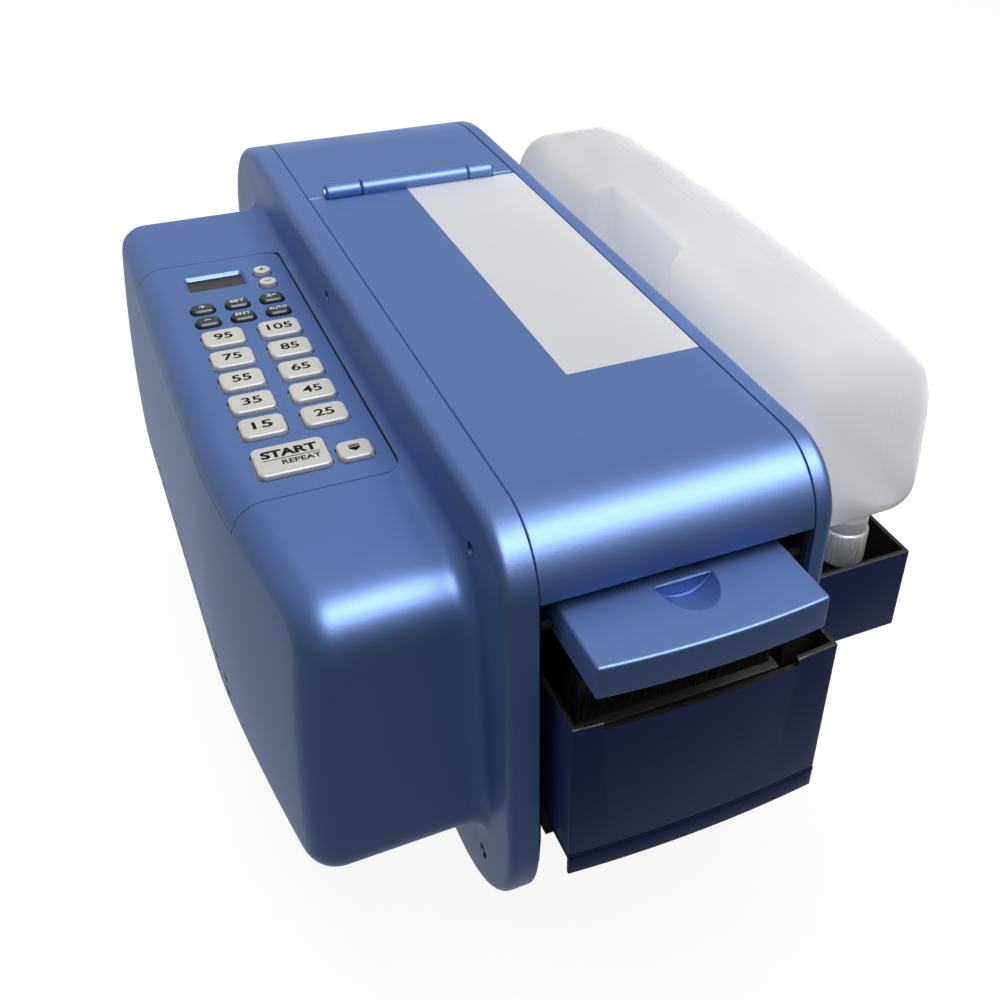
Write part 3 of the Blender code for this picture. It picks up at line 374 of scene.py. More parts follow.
def milkyFinish(name, partingX):
    material, nodes, links, shader = newFinish(name, 0.42, 0.0, 0.15)
    points = objectPoints(nodes, links)
    cloud = noiseOf(nodes, links, points, 11.0, 3.0)
    links.new(rampOf(nodes, links, cloud, [(0.3, (0.61, 0.615, 0.625)), (0.7, (0.66, 0.665, 0.675))]),
              shader.inputs["Base Color"])
    shader.inputs["Transmission Weight"].default_value = 0.55
    shader.inputs["IOR"].default_value = 1.15
    shader.inputs["Subsurface Weight"].default_value = 1.0
    shader.inputs["Subsurface Radius"].default_value = (1.0, 1.0, 0.95)
    shader.inputs["Subsurface Scale"].default_value = 0.04
    fine = noiseOf(nodes, links, points, 420.0, 3.0)
    skin = bumpOf(nodes, links, fine, 0.10, 0.0003)
    apart = nodes.new("ShaderNodeSeparateXYZ")
    links.new(points, apart.inputs["Vector"])
    away = mathOf(nodes, links, "SUBTRACT", apart.outputs["X"], partingX)
    near = mathOf(nodes, links, "ABSOLUTE", away)
    line = rangeOf(nodes, links, near, 1.0, 0.0, 0.0, 0.0009)
    links.new(bumpOf(nodes, links, line, 0.35, 0.0004, skin), shader.inputs["Normal"])
    links.new(rangeOf(nodes, links, cloud, 0.74, 0.84), shader.inputs["Roughness"])
    return material


def paperFinish(name, centre):
    material, nodes, links, shader = newFinish(name, 0.75, 0.0, 0.3)
    y, z = centre
    points = objectPoints(nodes, links, (0.0001, 1, 1), (0, -y, -z))
    distance = nodes.new("ShaderNodeVectorMath")
    distance.operation = "LENGTH"
    links.new(points, distance.inputs[0])
    turns = mathOf(nodes, links, "MULTIPLY", distance.outputs["Value"], 9000.0)
    layers = mathOf(nodes, links, "SINE", turns)
    stops = [(0.2, (0.36, 0.235, 0.125)), (0.8, (0.50, 0.345, 0.195))]
    links.new(rampOf(nodes, links, layers, stops), shader.inputs["Base Color"])
    fibre = noiseOf(nodes, links, objectPoints(nodes, links, (1, 1, 1)), 700.0, 4.0, 0.7)
    links.new(bumpOf(nodes, links, fibre, 0.25, 0.0003), shader.inputs["Normal"])
    return material


finishes = {
    "cover_blue": paintFinish("satinBluePaint", paint["cover"], paint["metallic"], paint["roughness"]),
    "tank_navy": paintFinish("darkBluePaint", paint["navy"], 0.1, 0.38, 0.02),
    "steel": brushedFinish("zincSheet", (0.56, 0.57, 0.59), 0.38),
    "black_plastic": grainedFinish("blackMoulding", (0.018, 0.018, 0.019), 0.5, specular=0.2),
    "heater_black": grainedFinish("blackCoating", (0.030, 0.030, 0.032), 0.55, 0.3),
    "bristle": grainedFinish("blackNylon", (0.014, 0.014, 0.015), 0.45, specular=0.12, grain=2500.0),
    "display_glass": grainedFinish(
        "smokedWindow", (0.042, 0.036, 0.032), 0.3, specular=0.1, vary=0.2, bump=0.01),
    "board_green": grainedFinish("circuitBoard", (0.02, 0.13, 0.05), 0.45, vary=0.3, grain=500.0),
    "milky_plastic": milkyFinish("milkyPlastic", seamPoint.x + 0.181),
    "cap_white": grainedFinish("whiteMoulding", (0.78, 0.78, 0.77), 0.45, vary=0.03),
    "kraft_paper": paperFinish("kraftRoll", ((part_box("tape_roll")[0].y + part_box("tape_roll")[1].y) / 2,
                                             (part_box("tape_roll")[0].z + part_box("tape_roll")[1].z) / 2)),
    "roller_grey": grainedFinish("greyMoulding", (0.30, 0.30, 0.31), 0.5),
    "black_rubber": grainedFinish("blackRubber", (0.024, 0.024, 0.025), 0.8, bump=0.3),
    "motor_grey": grainedFinish("motorEnamel", (0.22, 0.23, 0.25), 0.4, 0.3),
    "alloy": brushedFinish("machinedAlloy", (0.70, 0.70, 0.72), 0.32, (260, 12, 12)),
    "key_white": grainedFinish("warmWhiteRubber", (0.66, 0.64, 0.58), 0.5, vary=0.03, specular=0.35),
    "key_dark": grainedFinish("darkRubber", (0.016, 0.026, 0.027), 0.45, vary=0.1, specular=0.15),
}
extraFinishes = {
    "label": grainedFinish("blankLabel", (0.68, 0.69, 0.73), 0.38, vary=0.02, bump=0.04),
    "darkInk": grainedFinish("darkInk", (0.012, 0.012, 0.013), 0.8, specular=0.02, vary=0.1, bump=0.02),
    "paleInk": grainedFinish("paleInk", (0.80, 0.82, 0.82), 0.8, specular=0.1, vary=0.05, bump=0.02),
    "screw": brushedFinish("blackenedScrew", (0.10, 0.11, 0.14), 0.35, (60, 60, 60)),
    "pins": brushedFinish("brassPins", (0.62, 0.50, 0.26), 0.3),
    "card": grainedFinish("greyCard", (0.30, 0.27, 0.22), 0.8, vary=0.15, bump=0.3),
    "liner": grainedFinish("darkLiner", (0.010, 0.010, 0.011), 0.5, specular=0.08),
    # Near-black sheet finish as painted shade: the side plates, pan floor and heater-cover pin are made black
    # so the gaps around them read as shaded.
    "blackSheet": grainedFinish("blackSheet", (0.012, 0.012, 0.013), 0.8, specular=0.02),
}
print("finishes made:", len(finishes) + len(extraFinishes))


shell = {
    "width": 125, "length": 520, "top": 263, "skirt": 5, "skin": 3, "edge": 5, "seat": 0.3, "seam": 0.5,
    "frontTop": 32.5, "frontBottom": 80, "rearTop": 110, "rearBottom": 40,
}
housing = {
    "flange": 14, "front": 31, "rear": 430, "bottom": 65, "top": 225.5, "left": -110,
    "noseSetIn": 16, "taperEnd": 181, "lean": 12, "fillet": 9, "wall": 4,
    "corners": {"frontTop": 26, "rearTop": 8, "rearBottom": 20, "frontBottom": 20},
    "rims": {"front": 14, "rear": 12, "top": 14, "bottom": 14},
    "screws": ((36, 27), (249, 17), (430, 42), (38, 219), (430, 219)), "screwRadius": 4, "screwDepth": 8,
    "ventYs": range(150, 371, 20), "ventZs": (84, 93), "vent": (8, 3.4),
}
panel = {"thick": 2, "front": 114.5, "rear": 358, "right": -18, "wrap": 13.5, "corner": 8, "ledge": 8}


def sideCorners(inset=0.0):
    low, high = inset, shell["length"] - inset
    bottom, top = shell["skirt"] + inset, shell["top"] - inset
    corners = [(low, bottom), (high, bottom), (high, top), (low, top)]
    radii = [shell[name] - inset for name in ("frontBottom", "rearBottom", "rearTop", "frontTop")]
    return corners, radii


def fall(distance, radius):
    if distance >= radius or radius <= 0:
        return 0.0
    return radius - math.sqrt(radius ** 2 - (radius - distance) ** 2)


def shapeWall(x, y, z):
    share = min(max((y - housing["front"]) / (housing["taperEnd"] - housing["front"]), 0.0), 1.0)
    height = (z - housing["bottom"]) / (housing["top"] - housing["bottom"])
    setIn = housing["noseSetIn"] * (1 - share) ** 1.5 * min(max((-24 - x) / 60, 0.0), 1.0)
    return x + setIn + housing["lean"] * height ** 2 * min(max((-24 - x) / 30, 0.0), 1.0)


def bulgeShape(inset=0.0, reach=1.0, fillet=0.0):
    left = housing["left"] + inset
    rims = {side: radius - inset for side, radius in housing["rims"].items()}
    corners = {name: radius - inset for name, radius in housing["corners"].items()}
    stations = []  # x, how far the outline grows, and the depth from the left wall's plane
    if fillet:
        start = -housing["flange"]
        stations.append((reach, fillet))
        for step in range(7):
            turn = math.radians(90 - 15 * step)
            stations.append((start - fillet + fillet * math.sin(turn), fillet * (1 - math.cos(turn))))
        stations += [(x, 0.0) for x in (-30, -38, -46, -54, -64, -76)]
    else:
        stations += [(x, 0.0) for x in (reach, -24, -38, -54, -76)]
    rings = []

    def addRing(x, grow, depth, extra=0.0):
        sink = {side: fall(depth, radius) + extra for side, radius in rims.items()}
        less = inset - grow
        low = (housing["front"] + less + sink["front"], housing["bottom"] + less + sink["bottom"])
        high = (housing["rear"] - less - sink["rear"], housing["top"] - less - sink["top"])
        names = (("rearTop", "rear"), ("frontTop", "front"), ("frontBottom", "front"), ("rearBottom", "rear"))
        limit = max((high[1] - low[1]) / 2 - 0.01, 0.0)
        least = 1.5 if not extra else 0.0
        radii = [min(max(corners[name] + grow - sink[side], least), limit) for name, side in names]
        outline = ringPoints(low, high, radii, 8, (26, 9))
        rings.append([(shapeWall(x, y, z), y, z) for y, z in outline])

    for x, grow in stations:
        addRing(x, grow, 99.0)
    deepest = max(rims.values())
    for step in range(11):
        depth = deepest * (1 - math.sin(math.radians(9 * step)))
        addRing(left + depth, 0.0, depth)
    half = (housing["top"] - housing["bottom"] - housing["rims"]["top"] - housing["rims"]["bottom"]) / 2
    for step in range(1, 6):
        addRing(left, 0.0, 0.0, half * step / 5)
    return bridgeRings(rings, (True, False))


def panelCorners(grow=0.0):
    left, front = housing["left"] - 20, panel["front"] - grow
    right, rear = panel["right"] + grow, panel["rear"] + grow
    radius = panel["corner"] + grow
    return [(left, front), (right, front), (right, rear), (left, rear)], [0, radius, radius, 0]


def buildLeftHousing():
    corners, radii = sideCorners()
    plate = plateShape("x", (-housing["flange"], 0), corners, radii, 16)
    softenEdges(plate, shell["edge"], 6, 60, lambda middle: middle.x < -housing["flange"] + 0.1)
    body = combineShapes(plate, bulgeShape(0, -6, housing["fillet"]), "UNION")
    hollow = tagFaces(bulgeShape(housing["wall"], 1), 1)
    wrap = (housing["top"] - panel["wrap"] - shell["seat"], housing["top"] + 20)
    seat = plateShape("z", wrap, *panelCorners(shell["seat"]))
    seat = tagFaces(cutShape(seat, bulgeShape(panel["thick"] + shell["seat"], 1)), 1)
    frontLeft = (housing["left"] + 28, panel["front"] + panel["ledge"])
    rearRight = (panel["right"] - 4, panel["rear"] - panel["ledge"])
    window = slabShape("z", (housing["top"] - 20, housing["top"] + 20), frontLeft, rearRight, 4)
    holes = []
    for y, drop in housing["screws"]:
        ends = (-housing["flange"] - 5, -housing["flange"] + housing["screwDepth"])
        centre = (y, shell["top"] - drop)
        holes.append(rodShape("x", ends, centre, housing["screwRadius"], 28))
    length, height = housing["vent"]
    through = (housing["left"] - 5, housing["left"] + 12)
    slots = []
    for y in housing["ventYs"]:
        for z in housing["ventZs"]:
            slots.append(slabShape("x", through, (y, z), (y + length, z + height), 1.5, 4))
    low, high = nodeBox("mains_inlet")
    through = (housing["rear"] - 9, housing["rear"] + 9)
    inlet = slabShape("y", through, (low.x + 2.2, low.z + 2.7), (high.x - 2.2, high.z - 2.7), 1)
    body = cutShape(body, hollow, seat, window, addShapes(*holes), tagFaces(addShapes(*slots), 1), inlet)
    looks = ("cover_blue", "black_plastic")
    addPiece("leftHousing", body, looks, "machine", ["left_housing"], smooth=30)
    for number, (y, drop) in enumerate(housing["screws"]):
        centre = (y, shell["top"] - drop)
        floor = -housing["flange"] + housing["screwDepth"]
        head = ((0.05, 0), (0.05, 3.4), (1.2, 3.2), (2.1, 2.0), (2.4, 0))
        screw = spinShape("x", centre, [(floor - rise, radius) for rise, radius in head], 28)
        for wide, tall in ((0.5, 2.1), (2.1, 0.5)):
            low = (floor - 4, centre[0] - wide, centre[1] - tall)
            high = (floor - 1.2, centre[0] + wide, centre[1] + tall)
            screw = cutShape(screw, boxShape(low, high))
        addPiece(f"coverScrew{number + 1}", screw, "screw", "machine", slot="steel")


buildLeftHousing()
print("left housing built")


keypad = {
    "proud": 2.6, "gap": 0.7, "corner": 3.5, "flange": 1.0, "stem": 5.0, "columns": (-67.3, -38.2),
    "row": 170, "pitch": 22.8, "number": (21, 16.5),
    "softColumns": (-71.4, -52.8, -34.1), "softRows": (282, 297.8), "soft": (12.4, 8.9),
    "trim": (-32, (316.2, 331.8), 9), "start": (-61.2, 140, 33, 23), "cut": (-33.4, 135.5, 15.5, 14),
    "display": (-58.3, 331, 33, 19), "rim": 1.4,
}


def keyTable():
    keys = []
    for column, first in zip(keypad["columns"], (15, 25)):
        for row in range(5):
            y = keypad["row"] + row * keypad["pitch"]
            keys.append((str(first + 20 * row), column, y, *keypad["number"], "key_white", 3.5))
    for y, names in zip(keypad["softRows"], (("minus", "enter", "auto"), ("plus", "set", "twice"))):
        for x, name in zip(keypad["softColumns"], names):
            keys.append((name, x, y, *keypad["soft"], "key_dark", 3.2))
    x, rows, wide = keypad["trim"]
    for y, name in zip(rows, ("trim_less", "trim_more")):
        keys.append((name, x, y, wide, wide, "key_white", wide / 2 - 0.01))
    keys.append(("start", *keypad["start"], "key_white", 3.5))
    keys.append(("cut", *keypad["cut"], "key_white", 3.5))
    return keys


def keySlab(x, y, width, height, radius, ends, grow=0.0, segments=8):
    low = (x - width / 2 - grow, y - height / 2 - grow)
    high = (x + width / 2 + grow, y + height / 2 + grow)
    return slabShape("z", ends, low, high, radius + grow, segments)


def buildPanel():
    top = housing["top"]
    shape = plateShape("z", (top - panel["wrap"], top + 20), *panelCorners(-0.15))
    shape = combineShapes(shape, bulgeShape(0, 1), "INTERSECT")
    shape = cutShape(shape, tagFaces(bulgeShape(panel["thick"], 1), 1))
    holes = []
    for _, x, y, width, height, _, radius in keyTable():
        holes.append(keySlab(x, y, width, height, radius, (top - 8, top + 8), keypad["gap"]))
    shape = cutShape(shape, tagFaces(addShapes(*holes), 1))
    x, y, width, height = keypad["display"]
    rim = keypad["rim"]
    slope = keySlab(x, y, width, height, 2.4, (top - 1.9, top + 0.01), 0.0, 6)
    for vert in slope.verts:
        if vert.co.z < top - 1.5:
            vert.co.x = x + (vert.co.x - x) * (width - 2 * rim) / width
            vert.co.y = y + (vert.co.y - y) * (height - 2 * rim) / height
    bmesh.ops.recalc_face_normals(slope, faces=slope.faces[:])
    well = keySlab(x, y, width - 2 * rim, height - 2 * rim, 1.2, (top - 8, top - 1.8), 0.0, 6)
    shape = cutShape(shape, slope, tagFaces(well, 1))
    looks = ("cover_blue", "black_plastic")
    addPiece("keypadPanel", shape, looks, "machine", ["keypad_panel"], smooth=30)


def buildKeys():
    top = housing["top"] + keypad["proud"]
    underside = housing["top"] - panel["thick"] - shell["seat"]
    board = nodeBox("control_board")[1].z
    for name, x, y, width, height, slot, radius in keyTable():
        edge = 1.9 if slot == "key_dark" else 1.2
        cap = keySlab(x, y, width, height, radius, (underside - keypad["flange"], top), 0.0, 7)
        softenEdges(cap, edge, 5, 60, lambda middle: middle.z > top - 0.1)
        ends = (underside - keypad["flange"], underside)
        flange = keySlab(x, y, width, height, radius, ends, keypad["flange"], 5)
        stem = rodShape("z", (board + 1.2 + shell["seat"], underside - 0.5), (x, y), keypad["stem"] / 2, 16)
        node = f"key_{name}"
        addPiece(f"key.{name}", addShapes(cap, flange, stem), slot, node, [node], smooth=40)


def glyphShape(text, tall, wide, weight):
    curve = bpy.data.curves.new("glyph", "FONT")
    curve.body = text
    curve.align_x = "CENTER"
    curve.align_y = "CENTER"
    curve.offset = weight
    curve.extrude = 0.02
    curve.resolution_u = 4
    obj = bpy.data.objects.new("glyph", curve)
    bpy.context.scene.collection.objects.link(obj)
    graph = bpy.context.evaluated_depsgraph_get()
    mesh = bpy.data.meshes.new_from_object(obj.evaluated_get(graph))
    bpy.data.objects.remove(obj)
    bpy.data.curves.remove(curve)
    bm = bmesh.new()
    bm.from_mesh(mesh)
    bpy.data.meshes.remove(mesh)
    low = Vector([min(vert.co[i] for vert in bm.verts) for i in range(3)])
    high = Vector([max(vert.co[i] for vert in bm.verts) for i in range(3)])
    bmesh.ops.translate(bm, verts=bm.verts, vec=-(low + high) / 2)
    size = high - low
    bmesh.ops.scale(bm, verts=bm.verts, vec=(wide / size.x, tall / size.y, 0.06 / size.z))
    return bm


def moved(bm, x, y, z):
    bmesh.ops.translate(bm, verts=bm.verts, vec=(x, y, z))
    return bm


legends = {  # text, height, width, and how bold
    "numberTall": 6.3, "twoWide": 9.3, "threeWide": 12.9,
    "enter": ("ENT", 3.0, 8.0), "auto": ("AUTO", 3.0, 9.6),
    "set": ("SET", 3.0, 8.0), "twice": ("2×", 3.0, 5.6),
}


def buildLegends():
    level = housing["top"] + keypad["proud"] + 0.03
    for name, x, y, _, _, slot, _ in keyTable():
        ink = "paleInk" if slot == "key_dark" else "darkInk"
        if name.isdigit():
            wide = legends["twoWide"] if len(name) == 2 else legends["threeWide"]
            shape = moved(glyphShape(name, legends["numberTall"], wide, 0.018), x, y + 0.4, level)
        elif name in ("plus", "trim_more", "minus", "trim_less"):
            arm = 1.7
            bars = [boxShape((x - arm, y - 0.35, level), (x + arm, y + 0.35, level + 0.04))]
            if name in ("plus", "trim_more"):
                bars.append(boxShape((x - 0.35, y - arm, level), (x + 0.35, y - 0.35, level + 0.04)))
                bars.append(boxShape((x - 0.35, y + 0.35, level), (x + 0.35, y + arm, level + 0.04)))
            shape = addShapes(*bars)
        elif name == "start":
            word = moved(glyphShape("START", 6.0, 25.5, 0.045), x, y + 4.2, level)
            rule = boxShape((x - 12.8, y - 0.55, level), (x + 12.8, y - 0.05, level + 0.04))
            second = moved(glyphShape("REPEAT", 3.6, 17.5, 0.022), x + 4, y - 3.6, level)
            shape = addShapes(word, rule, second)
        elif name == "cut":
            half = 2.6
            bars = []
            for row in range(2):
                low, high = y + 1.0 + 1.1 * row, y + 1.7 + 1.1 * row
                bars.append(boxShape((x - half, low, level), (x + half, high, level + 0.04)))
            head = ((-half, 0.6), (-half, -0.3), (0, -half), (half, -0.3), (half, 0.6))
            outline = [(x + across, y + up) for across, up in head]
            shape = addShapes(*bars, plateShape("z", (level, level + 0.04), outline))
        else:
            text, tall, wide = legends[name]
            shape = moved(glyphShape(text, tall, wide, 0.022), x, y + 0.5, level)
        addPiece(f"legend.{name}", shape, ink, f"key_{name}", slot=slot, turned=False)


buildPanel()
buildKeys()
buildLegends()
print("keypad built:", len(keyTable()), "keys")


rightCover = {"edge": 5, "shelfFront": 150, "shelfRear": 340, "shelfWidth": 60, "shelfThick": 5, "gusset": 40}
hinge = {"y": 337, "z": 265.5, "radius": 5, "pin": 2, "ends": (10, 31, 95, 111)}
label = {"x": (57, 124), "y": (104, 332.2), "thick": 0.12}
spout = {"y": 40, "z": 143, "radius": 6, "bore": 4}
rightX = shell["width"] + 10


def railShape(ends, outer, inner):
    return plateShape("x", ends, outer + inner[::-1])


def buildRightCover():
    corners, radii = sideCorners()
    cover = plateShape("x", (shell["width"], rightX), corners, radii, 16)
    softenEdges(cover, rightCover["edge"], 6, 60, lambda middle: middle.x > rightX - 0.1)
    inner, innerRadii = sideCorners(shell["skin"] + rightCover["edge"])
    ends = (shell["width"] - 1, rightX - shell["skin"])
    cover = cutShape(cover, plateShape("x", ends, inner, innerRadii, 12))
    shelfTop = nodeBox("water_bottle")[0].z + 24 - shell["seat"]
    front, rear, thick = rightCover["shelfFront"], rightCover["shelfRear"], rightCover["shelfThick"]
    end = rightX + rightCover["shelfWidth"]
    shelf = slabShape("z", (shelfTop - thick, shelfTop), (rightX - 12, front), (end, rear), 6)
    softenEdges(shelf, 0.8, 3)
    cover = combineShapes(cover, shelf, "UNION")
    under = shelfTop - thick + 1
    for y in (front + 0.5, rear - 2.5):
        web = [(rightX - 1, under), (end - 10, under), (rightX - 1, under - rightCover["gusset"])]
        cover = combineShapes(cover, softenEdges(plateShape("y", (y, y + 2.5), web), 0.4, 2), "UNION")
    hole = rodShape("x", (shell["width"] - 1, rightX + 1), (spout["y"], spout["z"]), spout["radius"] + 0.3)
    cover = cutShape(cover, hole)
    addPiece("rightCover", cover, "cover_blue", "machine", ["right_cover"], smooth=30, flatWalls=True)


def buildLidAndRear():
    ends = (shell["seam"], shell["width"] - shell["seam"])
    axis = (hinge["y"], hinge["z"])
    top, skin, front, rear = shell["top"], shell["skin"], shell["frontTop"], shell["rearTop"]
    split = hinge["y"] - shell["seat"]
    frontCentre = (front, top - front)
    lid = railShape(ends, [(split, top)] + arc(frontCentre, front, 90, 180, 20),
                    [(split, top - skin)] + arc(frontCentre, front - skin, 90, 180, 20))
    rearCentre = (shell["length"] - rear, top - rear)
    low = nodeBox("rear_cover")[0].z
    split = hinge["y"] + shell["seat"]
    outer = [(split, top)] + arc(rearCentre, rear, 90, 0, 30) + [(shell["length"], low)]
    inner = [(split, top - skin)] + arc(rearCentre, rear - skin, 90, 0, 30) + [(shell["length"] - skin, low)]
    back = railShape(ends, outer, inner)
    softenEdges(lid, 0.9, 3, 50)
    softenEdges(back, 0.9, 3, 50)
    start, splitLeft, splitRight, end = hinge["ends"]
    clear = hinge["radius"] + 0.6
    seat = shell["seat"]
    pairs = ((start - seat, splitLeft + seat), (splitRight - seat, end + seat))
    lidClear = [rodShape("x", pair, axis, clear, 40) for pair in pairs]
    lid = cutShape(lid, addShapes(*lidClear))
    back = cutShape(back, rodShape("x", (splitLeft, splitRight), axis, clear, 40))
    middle = rodShape("x", (splitLeft + seat, splitRight - seat), axis, hinge["radius"], 40, 0.8)
    lid = combineShapes(lid, middle, "UNION")
    for pair in ((start, splitLeft), (splitRight, end)):
        back = combineShapes(back, rodShape("x", pair, axis, hinge["radius"], 40, 2.0, 4), "UNION")
    lid = cutShape(lid, rodShape("x", (start - 1, end + 1), axis, hinge["pin"] + seat, 24))
    back = cutShape(back, rodShape("x", (start - 1, end + 1), axis, hinge["pin"] + seat, 24))
    addPiece("lid.shell", lid, "cover_blue", "lid", ["lid"], smooth=30, flatWalls=True)
    addPiece("rearCover", back, "cover_blue", "machine", ["rear_cover"], smooth=30, flatWalls=True)
    low, high = zip(label["x"], label["y"])
    sheet = slabShape("z", (top + 0.01, top + label["thick"]), low, high, 0.6, 4)
    addPiece("lidLabel", sheet, "label", "lid")


buildRightCover()
buildLidAndRear()
print("covers built")


heaterCover = {
    "x": (8, 110), "front": -35, "rear": 26, "top": 226.5, "lip": 16.5, "thick": 6, "wall": 2.5, "bow": 3,
    "scoop": {"x": 61, "y": -2, "radii": (14, 21, 12.5), "lift": 3.5, "wall": 2}, "pivot": (6, 215),
}


def bowedFront(low, high, y, steps=20):
    points = []
    for step in range(steps + 1):
        share = step / steps
        points.append((high + (low - high) * share, y - heaterCover["bow"] * 4 * share * (1 - share)))
    return points


def scoopShape(grow, top):
    scoop = heaterCover["scoop"]
    bm = bmesh.new()
    bmesh.ops.create_uvsphere(bm, u_segments=64, v_segments=32, radius=1)
    bmesh.ops.scale(bm, verts=bm.verts, vec=[radius + grow for radius in scoop["radii"]])
    bmesh.ops.translate(bm, verts=bm.verts, vec=(scoop["x"], scoop["y"], heaterCover["top"] + scoop["lift"]))
    for point, normal in (((0, scoop["y"] + grow + 0.01, 0), (0, 1, 0)), ((0, 0, top), (0, 0, 1))):
        everything = bm.verts[:] + bm.edges[:] + bm.faces[:]
        bmesh.ops.bisect_plane(bm, geom=everything, plane_co=point, plane_no=normal, clear_outer=True)
        rim = [edge for edge in bm.edges if edge.is_boundary]
        if rim:
            bmesh.ops.edgeloop_fill(bm, edges=rim)
    return bm


def beadShape(points, radius, steps=10):
    path = [Vector(point) for point in points]
    rings = []
    for index, point in enumerate(path):
        ahead = path[min(index + 1, len(path) - 1)] - path[max(index - 1, 0)]
        side = ahead.cross(axisVectors["y"]).normalized()
        share = math.sin(math.pi * (index + 0.5) / len(path)) ** 0.3
        ring = []
        for step in range(steps):
            turn = math.tau * step / steps
            ring.append(point + radius * share * (math.cos(turn) * side + math.sin(turn) * axisVectors["y"]))
        rings.append(ring)
    return bridgeRings(rings)


def scoopRims():
    scoop = heaterCover["scoop"]
    wide, _, deep = scoop["radii"]
    centreZ = heaterCover["top"] + scoop["lift"]
    start = math.asin(scoop["lift"] / deep) + 0.04
    crescent = []
    for step in range(41):
        turn = start + (math.pi - 2 * start) * step / 40
        across, down = (wide - 0.4) * math.cos(turn), (deep - 0.4) * math.sin(turn)
        crescent.append((scoop["x"] + across, scoop["y"] - 0.5, centreZ - down))
    half = (wide - 0.4) * math.cos(start)
    level = heaterCover["top"] - 0.7
    ridge = [(scoop["x"] + half * (1 - step / 10), scoop["y"] - 0.1, level) for step in range(21)]
    return beadShape(crescent, 0.8), beadShape(ridge, 0.75)


def buildHeaterCover():
    low, high = heaterCover["x"]
    top, wall = heaterCover["top"], heaterCover["wall"]
    bottom = top - heaterCover["lip"]
    outline = bowedFront(low, high, heaterCover["front"])
    outline += [(low, heaterCover["rear"]), (high, heaterCover["rear"])]
    body = plateShape("z", (bottom, top), outline)
    softenEdges(body, 1.5, 4, 50, lambda middle: middle.y < 0 or middle.z > top - 0.1)
    inner = bowedFront(low + wall, high - wall, heaterCover["front"] + wall)
    inner += [(low + wall, heaterCover["rear"] + 5), (high - wall, heaterCover["rear"] + 5)]
    body = cutShape(body, plateShape("z", (bottom - 1, top - heaterCover["thick"]), inner))
    scoop = heaterCover["scoop"]
    boss = scoopShape(scoop["wall"], top - heaterCover["thick"] / 2)
    body = combineShapes(body, boss, "UNION")
    body = cutShape(body, scoopShape(0, top + scoop["lift"]))
    pin = rodShape("x", (low - 5, high + 5), heaterCover["pivot"], 2.3)
    body = cutShape(body, pin)
    for bead in scoopRims():
        body = combineShapes(body, bead, "UNION")
    addPiece("heaterCover", body, "cover_blue", "heater_cover", ["heater_cover"], smooth=30)


buildHeaterCover()
print("heater cover built")


tank = {
    "left": 6.5, "right": 118.5, "wide": 134.5, "front": -17.5, "rear": 58, "base": 96.3, "top": 176.5,
    "wall": 2.5, "notch": 4,
}
pan = {"lip": 12.5, "thick": 2, "top": 96}
brush = {"rows": 13, "across": 105, "low": 164, "lean": 3.5, "radius": 0.42}


def tankOutline(inset):
    outline = bowedFront(tank["left"] + inset, tank["wide"] - inset, tank["front"] + inset)
    outline += [(tank["left"] + inset, tank["rear"] - inset), (tank["right"] - inset, tank["rear"] - inset)]
    return outline + [(tank["right"] - inset, -1 - inset), (tank["wide"] - inset, -1 - inset)]


def buildTank():
    body = plateShape("z", (tank["base"], tank["top"]), tankOutline(0))
    softenEdges(body, 1.0, 3, 50)
    hollow = plateShape("z", (tank["base"] + tank["wall"], tank["top"] + 5), tankOutline(tank["wall"]))
    notch = boxShape((tank["left"] + 14, tank["front"] - 10, tank["top"] - tank["notch"]),
                     (tank["wide"] - 21.5, tank["front"] + 5, tank["top"] + 5))
    hole = rodShape("x", (tank["right"] - 5, tank["right"] + 5), (spout["y"], spout["z"]), spout["bore"])
    body = cutShape(body, tagFaces(hollow, 1), tagFaces(notch, 1), hole)
    tagFaces(body, 1, lambda face: face.calc_center_median().z > tank["top"] - 0.35)
    addPiece("waterTank", body, ("tank_navy", "liner"), "brush_tank", ["brush_tank"], smooth=30)


def buildPan():
    bottom = pan["top"] - pan["thick"]
    high = (shell["width"] - 2.6, nodeBox("base_pan")[1].y, pan["top"])
    floor = boxShape((2.6, -1, bottom), high, 0.3)
    # The pan floor takes the near-black sheet finish as painted shade for the dark gap beside the tank.
    addPiece("panFloor", floor, "blackSheet", "machine", ["base_pan"], "steel")
    left, right = tank["left"], tank["wide"]
    outer = bowedFront(left, right, tank["front"])
    shelf = plateShape("z", (bottom - 0.2, pan["top"] - 0.1), outer + [(left, -0.5), (right, -0.5)])
    inner = [(x, y + pan["thick"]) for x, y in reversed(outer)]
    lip = plateShape("z", (pan["top"] - pan["lip"], pan["top"] - 0.2), outer + inner)
    softenEdges(lip, 0.5, 2, 50)
    addPiece("panLip", addShapes(shelf, lip), "tank_navy", "machine", ["base_pan"], smooth=30)


